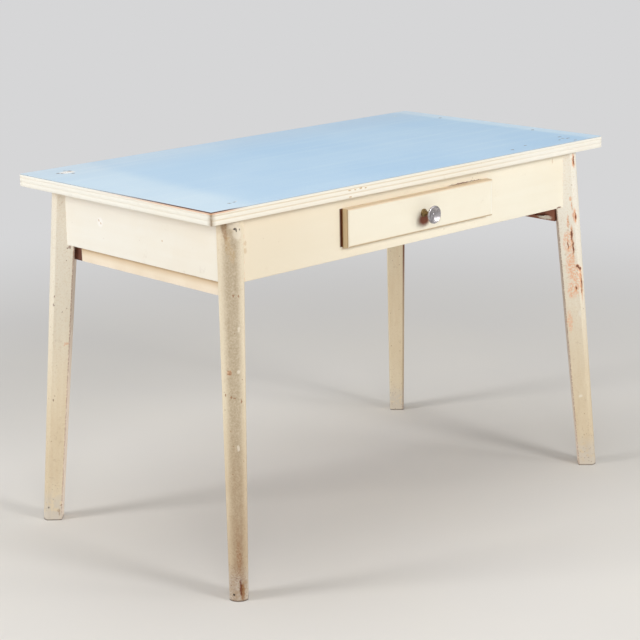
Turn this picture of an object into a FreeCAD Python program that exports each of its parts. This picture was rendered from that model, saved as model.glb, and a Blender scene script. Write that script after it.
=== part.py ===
import FreeCAD, Part
import math
import os

import Sketcher

# A painted kitchen table with one drawer. The origin is on the floor under the middle of
# the top, X runs along the table, the drawer opens towards minus Y and Z is up.
# All lengths are in millimetres.

# Driving dimensions, each written once. Names that end in share are parts of one.
SIZES = [
    # Whole table
    ("table_length", 1200),
    ("table_width", 640),
    ("table_height", 800),
    ("end_overhang", 70),
    ("side_overhang", 30),
    # Top: panel, laminate sheet and ribbed edging
    ("core_thickness", 25.1),
    ("laminate_thickness", 1.4),
    ("laminate_setback", 1),
    ("laminate_corner", 4),
    ("edging_thickness", 12),
    ("bead_rise", 1.3),
    ("wide_bead_share", 0.38),
    ("edging_chamfer", 3),
    ("mitre_gap", 0.3),
    # Aprons and the rails behind the end aprons
    ("apron_height", 132.5),
    ("apron_thickness", 20),
    ("apron_arris", 2),
    ("rail_height", 167.5),
    ("rail_thickness", 20),
    ("pocket_diameter", 12),
    ("pocket_length", 60),
    ("pocket_depth", 8.5),
    ("pocket_end", 18),
    ("pocket_lift", 13),
    ("block_side", 38),
    ("block_height", 110),
    # Legs, measured along the diagonal of their corner
    ("leg_top_width", 53.5),
    ("leg_foot_width", 37.5),
    ("leg_top_depth", 58),
    ("leg_foot_depth", 43),
    ("leg_top_reach", 4.7),
    ("leg_foot_reach", 68),
    ("leg_arris", 3),
    ("nose_share", 0.3),
    ("flank_slope_share", 0.035),
    # Tenons of the aprons
    ("tenon_thickness", 6.5),
    ("tenon_cover", 3.5),
    ("tenon_height", 80),
    ("tenon_drop", 45),
    ("tenon_gap", 2),
    ("joint_clearance", 0.2),
    # Screws
    ("screw_diameter", 4.5),
    ("screw_head_diameter", 9),
    ("screw_point", 5),
    ("hole_clearance", 0.15),
    ("top_screw_bite", 34),
    ("block_screw_length", 42),
    ("block_screw_drop", 24),
    ("pocket_screw_length", 45),
    ("kicker_screw_inset", 70),
    ("kicker_screw_bite", 12),
    # Drawer
    ("drawer_front_width", 450),
    ("drawer_front_height", 82),
    ("drawer_front_thickness", 19.6),
    ("drawer_front_round", 6.5),
    ("drawer_front_gap", 0.4),
    ("drawer_overlay", 10),
    ("drawer_side_thickness", 12),
    ("drawer_side_gap", 1.5),
    ("drawer_run_gap", 0.2),
    ("drawer_lift_gap", 1),
    ("drawer_back_space", 100),
    ("drawer_back_inset", 8),
    ("drawer_bottom_thickness", 4),
    ("drawer_bottom_lift", 8),
    ("drawer_groove_depth", 5),
    ("drawer_housing_depth", 8),
    # Drawer carriage
    ("runner_base", 16),
    ("guide_width", 18),
    ("guide_height", 24),
    ("kicker_width", 30),
    # Knob, measured outwards from the face of the drawer
    ("knob_diameter", 39),
    ("knob_reach", 33),
    ("knob_seat", 20),
    ("knob_rim_height", 4.5),
    ("knob_rim_roll", 1.8),
    ("knob_rim_width", 1),
    ("knob_dish_depth", 4),
    ("knob_dot_diameter", 6),
    ("knob_dot_height", 1.2),
    ("knob_base_diameter", 18),
    ("knob_base_height", 2.5),
    ("knob_shoulder_diameter", 15),
    ("knob_neck_diameter", 9),
    ("knob_screw_diameter", 4),
    ("knob_screw_head_diameter", 8),
    ("knob_screw_head_height", 2.5),
    ("knob_screw_bite", 11),
    # One overrun for all cuts
    ("overrun", 5),
]

# Places worked out from the driving dimensions
PLACES = [
    ("half_length", "Sizes.table_length / 2"),
    ("half_width", "Sizes.table_width / 2"),
    ("core_top", "Sizes.table_height - Sizes.laminate_thickness"),
    ("frame_top", "Places.core_top - Sizes.core_thickness"),
    # Outer faces of the aprons: their vertical planes meet at the corner
    ("corner_x", "Places.half_length - Sizes.end_overhang"),
    ("corner_y", "Places.half_width - Sizes.side_overhang"),
    ("apron_bottom", "Places.frame_top - Sizes.apron_height"),
    ("apron_inner_x", "Places.corner_x - Sizes.apron_thickness"),
    ("apron_inner_y", "Places.corner_y - Sizes.apron_thickness"),
    # Inner face of a leg's head, measured from the corner along the diagonal
    ("leg_seat", "Sizes.leg_top_depth - Sizes.leg_top_reach"),
    ("rail_bottom", "Places.frame_top - Sizes.rail_height"),
    ("rail_inner_x", "Places.apron_inner_x - Sizes.rail_thickness"),
    ("pocket_z", "Places.rail_bottom + Sizes.pocket_lift"),
    # Glue block in the corner of a rail and a long apron, behind the leg
    ("block_bottom", "Places.frame_top - Sizes.block_height"),
    # Tenons
    ("tenon_top", "Places.frame_top - Sizes.tenon_drop"),
    ("tenon_bottom", "Places.tenon_top - Sizes.tenon_height"),
    ("tenon_depth", "Sizes.tenon_cover + Sizes.tenon_thickness"),
    # Screws of the top, in the middle of each leg's head
    ("top_screw_inset", "(Places.leg_seat - Sizes.leg_top_reach) / sqrt(8)"),
    # Drawer opening and drawer box
    ("drawer_middle", "Places.frame_top - Sizes.apron_height / 2"),
    ("opening_half", "Sizes.drawer_front_width / 2 - Sizes.drawer_overlay"),
    ("opening_rise", "Sizes.drawer_front_height / 2 - Sizes.drawer_overlay"),
    ("opening_bottom", "Places.drawer_middle - Places.opening_rise"),
    ("opening_top", "Places.drawer_middle + Places.opening_rise"),
    ("front_back_y", "-Places.corner_y - Sizes.drawer_front_gap"),
    ("front_face_y", "Places.front_back_y - Sizes.drawer_front_thickness"),
    ("box_half", "Places.opening_half - Sizes.drawer_side_gap"),
    ("side_inner_x", "Places.box_half - Sizes.drawer_side_thickness"),
    ("box_bottom", "Places.opening_bottom + Sizes.drawer_run_gap"),
    ("box_top", "Places.opening_top - Sizes.drawer_lift_gap"),
    ("box_back_y", "Places.apron_inner_y - Sizes.drawer_back_space"),
    ("bottom_low", "Places.box_bottom + Sizes.drawer_bottom_lift"),
    ("bottom_high", "Places.bottom_low + Sizes.drawer_bottom_thickness"),
    ("back_outer_y", "Places.box_back_y - Sizes.drawer_back_inset"),
    ("back_inner_y", "Places.back_outer_y - Sizes.drawer_side_thickness"),
    # Knob
    ("knob_rim_back", "Sizes.knob_reach - Sizes.knob_rim_height"),
    ("knob_dish_floor", "Sizes.knob_reach - Sizes.knob_dish_depth"),
]

# The four sides by the turn about Z that brings the front there, and the four corners
SIDES = {"front": 0, "right": 90, "back": 180, "left": 270}
CORNERS = {
    "front_left": (-1, -1),
    "front_right": (1, -1),
    "back_left": (-1, 1),
    "back_right": (1, 1),
}
UP = FreeCAD.Vector(0, 0, 1)
FULL_TURN = 360
# Degrees between a pocket in a rail and the rail's face
POCKET_ANGLE = 15

doc = FreeCAD.newDocument("KitchenTable")
nodes = []


# Sheets


def fill_sheet(sheet_name, rows):
    sheet = doc.addObject("Spreadsheet::Sheet", sheet_name)
    for row, (alias, content) in enumerate(rows, start=1):
        sheet.set(f"A{row}", alias)
        sheet.set(f"B{row}", content)
        sheet.setAlias(f"B{row}", alias)
    return sheet


sizes = fill_sheet("Sizes", [(alias, str(size)) for alias, size in SIZES])
fill_sheet("Places", [(alias, f"={formula}") for alias, formula in PLACES])
doc.recompute()


def number(formula):
    """The value that a formula in the sheets' names has."""
    return float(sizes.evalExpression(formula))


# Helpers for bodies, sketches and booleans


def place(solid, x="0", y="0", z="0", rotation=None):
    """Puts a solid at a point given as formulas, turned by a rotation about it."""
    if rotation is not None:
        solid.Placement = FreeCAD.Placement(FreeCAD.Vector(), rotation)
    for axis, formula in zip("xyz", (x, y, z)):
        solid.setExpression(f"Placement.Base.{axis}", formula)
    return solid


def turned_about_z(angle):
    return FreeCAD.Rotation(UP, angle)


def node(solid, label):
    """Names a finished sub-part."""
    solid.Label = label
    nodes.append(solid)
    return solid


def new_body(name):
    return doc.addObject("PartDesign::Body", name)


def origin_plane(body, role):
    return next(part for part in body.Origin.OriginFeatures if part.Role == role)


def arc_between(start, end, radius):
    """The arc of less than a half circle from start to end, turning left where the radius is
    positive and right where it is negative."""
    chord = end - start
    half = chord.Length / 2
    rise = math.sqrt(max(radius * radius - half * half, 0))
    left = FreeCAD.Vector(-chord.y, chord.x, 0).normalize()
    centre = (start + end) / 2 + left * math.copysign(rise, radius)
    first, last = (start, end) if radius > 0 else (end, start)
    angles = [math.atan2(p.y - centre.y, p.x - centre.x) for p in (first, last)]
    circle = Part.Circle(centre, UP, abs(radius))
    return Part.ArcOfCircle(circle, angles[0], angles[1])


def bow(chord, rise):
    """Radius of the arc over a chord that rises by rise at its middle."""
    return f"((({chord})^2 / 4 + ({rise})^2) / (2 * ({rise})))"


def outline(body, role, corners, height="0"):
    """A closed sketch on one of the body's origin planes. Each corner is two formulas, and a
    third one makes the edge that leaves it an arc of that signed radius."""
    sketch = body.newObject("Sketcher::SketchObject", f"{body.Name}_outline")
    sketch.AttachmentSupport = (origin_plane(body, role), [""])
    sketch.MapMode = "FlatFace"
    sketch.setExpression("AttachmentOffset.Base.z", height)
    points = [FreeCAD.Vector(number(c[0]), number(c[1]), 0) for c in corners]
    follows = points[1:] + points[:1]
    starts = []
    ends = []
    for corner, start, end in zip(corners, points, follows):
        if len(corner) == 2:
            index = sketch.addGeometry(Part.LineSegment(start, end), False)
            reversed_arc = False
        else:
            radius = number(corner[2])
            index = sketch.addGeometry(arc_between(start, end, radius), False)
            reversed_arc = radius < 0
        starts.append((index, 2 if reversed_arc else 1))
        ends.append((index, 1 if reversed_arc else 2))
    for end, start in zip(ends, starts[1:] + starts[:1]):
        sketch.addConstraint(Sketcher.Constraint("Coincident", *end, *start))
    for corner, point, start in zip(corners, points, starts):
        for kind, formula, value in (
            ("DistanceX", corner[0], point.x),
            ("DistanceY", corner[1], point.y),
        ):
            index = sketch.addConstraint(Sketcher.Constraint(kind, -1, 1, *start, value))
            sketch.setExpression(f"Constraints[{index}]", formula)
        if len(corner) > 2:
            radius = Sketcher.Constraint("Radius", start[0], abs(number(corner[2])))
            index = sketch.addConstraint(radius)
            sketch.setExpression(f"Constraints[{index}]", f"abs({corner[2]})")
    return sketch


def symmetric_pad(body, sketch, length):
    pad = body.newObject("PartDesign::Pad", f"{body.Name}_pad")
    pad.Profile = sketch
    pad.SideType = "Symmetric"
    pad.setExpression("Length", length)
    return pad


def upright_pad(body, corners, low, high):
    """Pads an outline in plan from one height to another."""
    pad = body.newObject("PartDesign::Pad", f"{body.Name}_pad")
    pad.Profile = outline(body, "XY_Plane", corners, low)
    pad.setExpression("Length", f"({high}) - ({low})")
    return pad


def strip(name, turn, section, half_length):
    """A strip along one side of the table. Its section is drawn for the front, as places in Y
    and Z, and the turn brings it to its side."""
    body = new_body(name)
    symmetric_pad(body, outline(body, "YZ_Plane", section), f"2 * ({half_length})")
    return place(body, rotation=turned_about_z(turn))


def turned(name, profile):
    """A solid turned about its own Z axis, from a profile of radius and height."""
    body = new_body(name)
    revolution = body.newObject("PartDesign::Revolution", f"{name}_turning")
    sketch = outline(body, "XZ_Plane", profile)
    revolution.Profile = sketch
    revolution.ReferenceAxis = (sketch, ["V_Axis"])
    revolution.Angle = FULL_TURN
    return body


def board(name, low, high, spare="0"):
    """A plain board between two corners given as formulas, larger by spare all round."""
    box = doc.addObject("Part::Box", name)
    starts = [f"({start}) - ({spare})" for start in low]
    for side, start, end in zip(("Length", "Width", "Height"), starts, high):
        box.setExpression(side, f"({end}) + ({spare}) - ({start})")
    return place(box, *starts)


def gather(name, solids):
    group = doc.addObject("Part::Compound", name)
    group.Links = solids
    return group


def cut(name, base, tools):
    result = doc.addObject("Part::Cut", name)
    result.Base = base
    result.Tool = tools[0] if len(tools) == 1 else gather(f"{name}_tools", tools)
    return result


def join(name, first, second):
    result = doc.addObject("Part::Fuse", name)
    result.Base = first
    result.Tool = second
    return result


# Screws


def wood_screw(name, length, spare="0"):
    """A countersunk screw that points down from its head at the origin. With spare it is the
    hole for that screw."""
    radius = f"Sizes.screw_diameter / 2 + ({spare})"
    head = f"Sizes.screw_head_diameter / 2 + ({spare})"
    neck = "(Sizes.screw_diameter - Sizes.screw_head_diameter) / 2"
    tip = f"-({length}) - ({spare})"
    profile = [
        ("0", "0"),
        ("0", tip),
        (radius, f"{tip} + Sizes.screw_point"),
        (radius, neck),
        (head, "0"),
    ]
    return turned(name, profile)


def screw_and_hole(name, length, x, y, z, direction):
    """One screw in its place, driven along direction, and the solid that drills for it."""
    rotation = FreeCAD.Rotation(UP * -1, direction)
    screw = place(wood_screw(f"{name}_screw", length), x, y, z, rotation)
    hole = wood_screw(f"{name}_hole", length, "Sizes.hole_clearance")
    return screw, place(hole, x, y, z, rotation)


def pocket(corner, x, y, z, direction):
    """The slanting round pocket in a rail's inner face that lets a screw into the leg."""
    radius = "Sizes.pocket_diameter / 2"
    mouth = "Sizes.pocket_length"
    profile = [("0", "0"), (radius, "0"), (radius, mouth), ("0", mouth)]
    rotation = FreeCAD.Rotation(UP * -1, direction)
    return place(turned(f"Pocket_{corner}", profile), x, y, z, rotation)


top_screws = {}
top_holes = {}
block_screws = {}
block_holes = {}
rail_screws = {}
rail_holes = {}
pockets = {}
for corner, (side_x, side_y) in CORNERS.items():
    top_screws[corner], top_holes[corner] = screw_and_hole(
        f"top_{corner}",
        "Sizes.laminate_thickness + Sizes.core_thickness + Sizes.top_screw_bite",
        f"{side_x} * (Places.corner_x - Places.top_screw_inset)",
        f"{side_y} * (Places.corner_y - Places.top_screw_inset)",
        "Sizes.table_height",
        UP * -1,
    )
    block_screws[corner], block_holes[corner] = screw_and_hole(
        f"block_{corner}",
        "Sizes.block_screw_length",
        f"{side_x} * (Places.rail_inner_x - Sizes.block_side / 2)",
        f"{side_y} * (Places.apron_inner_y - Sizes.block_side / 2)",
        "Places.frame_top - Sizes.block_screw_drop",
        FreeCAD.Vector(side_x, side_y, 0),
    )
    slant = math.radians(POCKET_ANGLE)
    into_leg = FreeCAD.Vector(side_x * math.sin(slant), side_y * math.cos(slant), 0)
    pocket_place = (
        f"{side_x} * (Places.rail_inner_x + Sizes.pocket_depth)",
        f"{side_y} * (Places.apron_inner_y - Sizes.pocket_end)",
        "Places.pocket_z",
    )
    rail_screws[corner], rail_holes[corner] = screw_and_hole(
        f"rail_{corner}", "Sizes.pocket_screw_length", *pocket_place, into_leg
    )
    pockets[corner] = pocket(corner, *pocket_place, into_leg)

kicker_screws = {"left": [], "right": []}
kicker_holes = {"left": [], "right": []}
for hand, side_x in (("left", -1), ("right", 1)):
    for end, side_y in (("front", -1), ("back", 1)):
        screw, hole = screw_and_hole(
            f"kicker_{hand}_{end}",
            "Places.frame_top - Places.opening_top + Sizes.kicker_screw_bite",
            f"{side_x} * (Places.side_inner_x + Sizes.kicker_width / 2)",
            f"{side_y} * (Places.apron_inner_y - Sizes.kicker_screw_inset)",
            "Places.opening_top",
            UP,
        )
        kicker_screws[hand].append(screw)
        kicker_holes[hand].append(hole)

node(gather("TopScrews", list(top_screws.values())), "top_screws")
node(gather("BlockScrews", list(block_screws.values())), "corner_block_screws")
node(gather("RailScrews", list(rail_screws.values())), "rail_screws")
node(gather("KickerScrews", sum(kicker_screws.values(), [])), "kicker_screws")


# Top: panel, laminate and edging


def rounded_rectangle(half_x, half_y, radius):
    """Corners of a plan outline whose four corners are rounded."""
    corners = []
    for side_x, side_y, along_x in ((1, -1, 1), (1, 1, 0), (-1, 1, 1), (-1, -1, 0)):
        near_x = f"{side_x} * (({half_x}) - {radius})"
        near_y = f"{side_y} * (({half_y}) - {radius})"
        far_x = f"{side_x} * ({half_x})"
        far_y = f"{side_y} * ({half_y})"
        first, last = ((near_x, far_y), (far_x, near_y))
        if not along_x:
            first, last = last, first
        corners.append((*first, radius))
        corners.append(last)
    return corners


core_x = "Places.half_length - Sizes.edging_thickness"
core_y = "Places.half_width - Sizes.edging_thickness"
core_blank = board(
    "CoreBlank",
    (f"-({core_x})", f"-({core_y})", "Places.frame_top"),
    (core_x, core_y, "Places.core_top"),
)
core_holes = list(top_holes.values()) + kicker_holes["left"] + kicker_holes["right"]
node(cut("TopCore", core_blank, core_holes), "top_core")

laminate_blank = new_body("LaminateBlank")
upright_pad(
    laminate_blank,
    rounded_rectangle(
        "Places.half_length - Sizes.laminate_setback",
        "Places.half_width - Sizes.laminate_setback",
        "Sizes.laminate_corner",
    ),
    "Places.core_top",
    "Sizes.table_height",
)
node(cut("TopLaminate", laminate_blank, list(top_holes.values())), "top_laminate")


def edging_section(reach):
    """Three beads, two wide ones and a narrow one at the top, on a flat back."""
    valley = f"-({reach}) + Sizes.bead_rise"
    back = f"-({reach}) + Sizes.edging_thickness"
    wide = "Sizes.wide_bead_share * Sizes.core_thickness"
    narrow = f"Sizes.core_thickness - 2 * {wide}"
    first_groove = f"Places.frame_top + {wide}"
    second_groove = f"Places.frame_top + 2 * {wide}"
    return [
        (back, "Places.core_top"),
        (valley, "Places.core_top", bow(narrow, "Sizes.bead_rise")),
        (valley, second_groove, bow(wide, "Sizes.bead_rise")),
        (valley, first_groove, bow(wide, "Sizes.bead_rise")),
        (valley, "Places.frame_top"),
        (back, "Places.frame_top"),
    ]


def mitre_waste(half_length, reach, side):
    """Plan outline of what the mitre and the eased corner take off one end of an edging."""
    edge = f"({half_length}) - Sizes.mitre_gap"
    ease = "(Sizes.edging_chamfer - Sizes.mitre_gap) / 2"
    inward = "(Sizes.edging_thickness + Sizes.overrun)"
    points = [
        (f"({half_length}) - Sizes.edging_chamfer - Sizes.overrun", f"-({reach}) - Sizes.overrun"),
        (f"{edge} - {ease}", f"-({reach}) + {ease}"),
        (f"{edge} - {inward}", f"-({reach}) + {inward}"),
        (f"({half_length}) + Sizes.overrun", f"-({reach}) + {inward}"),
        (f"({half_length}) + Sizes.overrun", f"-({reach}) - Sizes.overrun"),
    ]
    return [(f"{side} * ({x})", y) for x, y in points]


def edging(side):
    reach, half_length = "Places.half_width", "Places.half_length"
    if side in ("left", "right"):
        reach, half_length = half_length, reach
    body = strip(f"Edging_{side}", SIDES[side], edging_section(reach), half_length)
    for end in (1, -1):
        waste = body.newObject("PartDesign::Pocket", f"Mitre_{side}")
        waste.Profile = outline(body, "XY_Plane", mitre_waste(half_length, reach, end))
        waste.Type = "ThroughAll"
        waste.SideType = "Symmetric"
    return node(body, f"edging_{side}")


for side in SIDES:
    edging(side)


# Legs: tapered, with a round nose, splayed outwards along the diagonals


def leg_section(width, depth, reach, deeper="0"):
    """D-shaped section, drawn with X outwards along the diagonal of the corner. Its flanks come
    together inwards, with one slope at every height, so that each flank is flat."""
    nose_rise = f"Sizes.nose_share * {width}"
    nose = bow(width, nose_rise)
    spring = f"{reach} - {nose_rise}"
    inner = f"{reach} - {depth} - ({deeper})"
    arris = "Sizes.leg_arris"
    flank = f"{width} / 2"
    flank_length = f"({depth} + ({deeper}) - {nose_rise} - {arris})"
    narrow = f"({flank} - Sizes.flank_slope_share * {flank_length})"
    return [
        (f"{inner} + {arris}", f"-{narrow}"),
        (spring, f"-{flank}", nose),
        (spring, flank),
        (f"{inner} + {arris}", narrow, arris),
        (inner, f"{narrow} - {arris}"),
        (inner, f"-{narrow} + {arris}", arris),
    ]


def leg_loft(name, corner, deeper="0"):
    body = new_body(name)
    foot = leg_section("Sizes.leg_foot_width", "Sizes.leg_foot_depth", "Sizes.leg_foot_reach", deeper)
    head = leg_section("Sizes.leg_top_width", "Sizes.leg_top_depth", "Sizes.leg_top_reach", deeper)
    loft = body.newObject("PartDesign::AdditiveLoft", f"{name}_loft")
    loft.Profile = outline(body, "XY_Plane", foot)
    loft.Sections = [outline(body, "XY_Plane", head, "Places.frame_top")]
    loft.Ruled = True
    side_x, side_y = CORNERS[corner]
    outwards = turned_about_z(math.degrees(math.atan2(side_y, side_x)))
    return place(body, f"{side_x} * Places.corner_x", f"{side_y} * Places.corner_y", rotation=outwards)


leg_blanks = {corner: leg_loft(f"LegBlank_{corner}", corner) for corner in CORNERS}

# The same legs carried on inwards, which mitre the ends of the aprons to the legs' flanks
leg_housings = {
    corner: leg_loft(f"LegHousing_{corner}", corner, "2 * Sizes.apron_thickness")
    for corner in CORNERS
}


# Aprons with their tenons


def apron_section(face):
    """Section of an apron with its lower outer arris rounded."""
    inner = f"-({face}) + Sizes.apron_thickness"
    return [
        (inner, "Places.frame_top"),
        (f"-({face})", "Places.frame_top"),
        (f"-({face})", "Places.apron_bottom + Sizes.apron_arris", "Sizes.apron_arris"),
        (f"-({face}) + Sizes.apron_arris", "Places.apron_bottom"),
        (inner, "Places.apron_bottom"),
    ]


def tenon_section(face, spare="0"):
    outer = f"-({face}) + Sizes.tenon_cover - ({spare})"
    inner = f"-({face}) + Places.tenon_depth + ({spare})"
    low = f"Places.tenon_bottom - ({spare})"
    high = f"Places.tenon_top + ({spare})"
    return [(inner, high), (outer, high), (outer, low), (inner, low)]


def side_faces(side):
    """Outer face of a side's apron, and the face that its ends run to."""
    if side in ("front", "back"):
        return "Places.corner_y", "Places.corner_x"
    return "Places.corner_x", "Places.corner_y"


def corners_of(side):
    return [corner for corner in CORNERS if side in corner.split("_")]


def tenon_bar(name, side, spare="0"):
    """Both tenons of an apron as one bar, which the apron swallows between the legs."""
    face, end = side_faces(side)
    half_length = f"{end} - Places.tenon_depth - Sizes.tenon_gap + ({spare})"
    return strip(name, SIDES[side], tenon_section(face, spare), half_length)


def apron(side):
    face, end = side_faces(side)
    half_length = f"{end} - Sizes.apron_thickness / 2"
    blank = strip(f"ApronBlank_{side}", SIDES[side], apron_section(face), half_length)
    housings = [leg_housings[corner] for corner in corners_of(side)]
    mitred = cut(f"ApronMitred_{side}", blank, housings)
    return join(f"Apron_{side}", mitred, tenon_bar(f"Tenons_{side}", side))


for side in ("back", "left", "right"):
    node(apron(side), f"{side}_apron")

drawer_opening = board(
    "DrawerOpening",
    ("-Places.opening_half", "-Places.corner_y - Sizes.overrun", "Places.opening_bottom"),
    ("Places.opening_half", "-Places.apron_inner_y + Sizes.overrun", "Places.opening_top"),
)
node(cut("FrontApron", apron("front"), [drawer_opening]), "front_apron")

mortises = {
    side: tenon_bar(f"Mortises_{side}", side, "Sizes.joint_clearance") for side in SIDES
}
for corner in CORNERS:
    tools = [mortises[side] for side in corner.split("_")]
    tools += [top_holes[corner], block_holes[corner], rail_holes[corner]]
    node(cut(f"Leg_{corner}", leg_blanks[corner], tools), f"leg_{corner}")


# Rails behind the end aprons, and glue blocks behind the legs


def end_rail(hand):
    """A raw board behind an end apron, from one long apron to the other, scribed to the legs."""
    near, far = "Places.rail_inner_x", "Places.apron_inner_x"
    low_x, high_x = (near, far) if hand == "right" else (f"-{far}", f"-{near}")
    blank = board(
        f"RailBlank_{hand}",
        (low_x, "-Places.apron_inner_y", "Places.rail_bottom"),
        (high_x, "Places.apron_inner_y", "Places.frame_top"),
    )
    result = blank
    for step, tools in (("scribed", leg_blanks), ("drilled", rail_holes), ("pocketed", pockets)):
        result = cut(f"Rail_{hand}_{step}", result, [tools[corner] for corner in corners_of(hand)])
    return result


for hand in ("left", "right"):
    node(end_rail(hand), f"{hand}_end_rail")


def corner_block(corner):
    """A three-cornered block in the angle of a rail and a long apron, cut back by the leg."""
    side_x, side_y = CORNERS[corner]
    plan = [
        ("Places.rail_inner_x", "Places.apron_inner_y"),
        ("Places.rail_inner_x", "(Places.apron_inner_y - Sizes.block_side)"),
        ("(Places.rail_inner_x - Sizes.block_side)", "Places.apron_inner_y"),
    ]
    blank = new_body(f"BlockBlank_{corner}")
    corners = [(f"{side_x} * {x}", f"{side_y} * {y}") for x, y in plan]
    upright_pad(blank, corners, "Places.block_bottom", "Places.frame_top")
    return cut(f"Block_{corner}", blank, [leg_blanks[corner], block_holes[corner]])


for corner in CORNERS:
    node(corner_block(corner), f"corner_block_{corner}")


# Drawer carriage: rebated runners under the drawer's sides, and kickers over them


def runner(hand, side_x):
    guide = "Places.opening_half"
    outer = f"{guide} + Sizes.guide_width"
    low = "Places.opening_bottom - Sizes.runner_base"
    high = "Places.opening_bottom + Sizes.guide_height"
    section = [
        ("Places.side_inner_x", low),
        (outer, low),
        (outer, high),
        (guide, high),
        (guide, "Places.opening_bottom"),
        ("Places.side_inner_x", "Places.opening_bottom"),
    ]
    body = new_body(f"Runner_{hand}")
    corners = [(f"{side_x} * ({x})", z) for x, z in section]
    symmetric_pad(body, outline(body, "XZ_Plane", corners), "2 * Places.apron_inner_y")
    return body


def kicker(hand, side_x):
    near = f"{side_x} * Places.side_inner_x"
    far = f"{side_x} * (Places.side_inner_x + Sizes.kicker_width)"
    low_x, high_x = (near, far) if side_x > 0 else (far, near)
    blank = board(
        f"KickerBlank_{hand}",
        (low_x, "-Places.apron_inner_y", "Places.opening_top"),
        (high_x, "Places.apron_inner_y", "Places.frame_top"),
    )
    return cut(f"Kicker_{hand}", blank, kicker_holes[hand])


for hand, side_x in (("left", -1), ("right", 1)):
    node(runner(hand, side_x), f"drawer_runner_{hand}")
    node(kicker(hand, side_x), f"drawer_kicker_{hand}")


# Drawer box


def drawer_side(name, side_x, spare="0"):
    near = f"{side_x} * Places.side_inner_x"
    far = f"{side_x} * Places.box_half"
    low_x, high_x = (near, far) if side_x > 0 else (far, near)
    return board(
        name,
        (low_x, "Places.front_back_y - Sizes.drawer_housing_depth", "Places.box_bottom"),
        (high_x, "Places.box_back_y", "Places.box_top"),
        spare,
    )


def drawer_panel(name, low_y, high_y, low_z, high_z, spare="0"):
    """A board across the drawer, let into grooves in both sides."""
    reach = "Places.side_inner_x + Sizes.drawer_groove_depth"
    return board(name, (f"-({reach})", low_y, low_z), (reach, high_y, high_z), spare)


bottom_places = (
    "Places.front_back_y - Sizes.drawer_groove_depth",
    "Places.back_outer_y",
    "Places.bottom_low",
    "Places.bottom_high",
)
back_places = ("Places.back_inner_y", "Places.back_outer_y", "Places.bottom_high", "Places.box_top")
node(drawer_panel("DrawerBottom", *bottom_places), "drawer_bottom")
node(drawer_panel("DrawerBack", *back_places), "drawer_back")
panel_grooves = [
    drawer_panel("BottomGroove", *bottom_places, "Sizes.joint_clearance"),
    drawer_panel("BackGroove", *back_places, "Sizes.joint_clearance"),
]
grooves = join("DrawerGrooves", *panel_grooves)
side_housings = []
for hand, side_x in (("left", -1), ("right", 1)):
    blank = drawer_side(f"SideBlank_{hand}", side_x)
    side_housings.append(drawer_side(f"SideHousing_{hand}", side_x, "Sizes.joint_clearance"))
    node(cut(f"DrawerSide_{hand}", blank, [grooves]), f"drawer_side_{hand}")


def drawer_front_blank():
    """The overlay front, with all the arrises of its face rounded."""
    half = "Sizes.drawer_front_width / 2"
    low = "Places.drawer_middle - Sizes.drawer_front_height / 2"
    high = "Places.drawer_middle + Sizes.drawer_front_height / 2"
    body = new_body("DrawerFrontBlank")
    pad = body.newObject("PartDesign::Pad", "DrawerFrontPad")
    corners = [(f"-{half}", low), (half, low), (half, high), (f"-{half}", high)]
    pad.Profile = outline(body, "XZ_Plane", corners, "-Places.front_back_y")
    pad.setExpression("Length", "Sizes.drawer_front_thickness")
    doc.recompute()
    face_y = pad.Shape.BoundBox.YMin
    on_face = [
        f"Edge{index}"
        for index, edge in enumerate(pad.Shape.Edges, start=1)
        if all(math.isclose(vertex.Y, face_y) for vertex in edge.Vertexes)
    ]
    rounding = body.newObject("PartDesign::Fillet", "DrawerFrontRounding")
    rounding.Base = (pad, on_face)
    rounding.setExpression("Radius", "Sizes.drawer_front_round")
    body.Tip = rounding
    return body


# Knob: a turned stem, a dished cap and the screw that holds them

OUTWARDS = FreeCAD.Rotation(UP, FreeCAD.Vector(0, -1, 0))
INWARDS = FreeCAD.Rotation(UP, FreeCAD.Vector(0, 1, 0))


def at_knob(solid, y, rotation):
    return place(solid, "0", y, "Places.drawer_middle", rotation)


def knob_screw(name, spare="0"):
    """A round-headed screw from inside the drawer, drawn from the seat of its head."""
    radius = f"Sizes.knob_screw_diameter / 2 + ({spare})"
    head = f"Sizes.knob_screw_head_diameter / 2 + ({spare})"
    tip = f"-Sizes.drawer_front_thickness - Sizes.knob_screw_bite - ({spare})"
    profile = [
        ("0", tip),
        (radius, tip),
        (radius, "0"),
        (head, "0"),
        (head, "Sizes.knob_screw_head_height / 2"),
        (f"{head} / 2", "Sizes.knob_screw_head_height"),
        ("0", "Sizes.knob_screw_head_height"),
    ]
    return at_knob(turned(name, profile), "Places.front_back_y", INWARDS)


def knob_stem():
    base = "Sizes.knob_base_diameter / 2"
    shoulder = "Sizes.knob_shoulder_diameter / 2"
    neck = "(Sizes.knob_shoulder_diameter - Sizes.knob_neck_diameter) / 2"
    waist = bow("Sizes.knob_seat - Sizes.knob_base_height", neck)
    profile = [
        ("0", "0"),
        (base, "0"),
        (base, "Sizes.knob_base_height / 2"),
        (shoulder, "Sizes.knob_base_height", f"-{waist}"),
        (shoulder, "Sizes.knob_seat"),
        ("0", "Sizes.knob_seat"),
    ]
    return at_knob(turned("StemBlank", profile), "Places.front_face_y", OUTWARDS)


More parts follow.
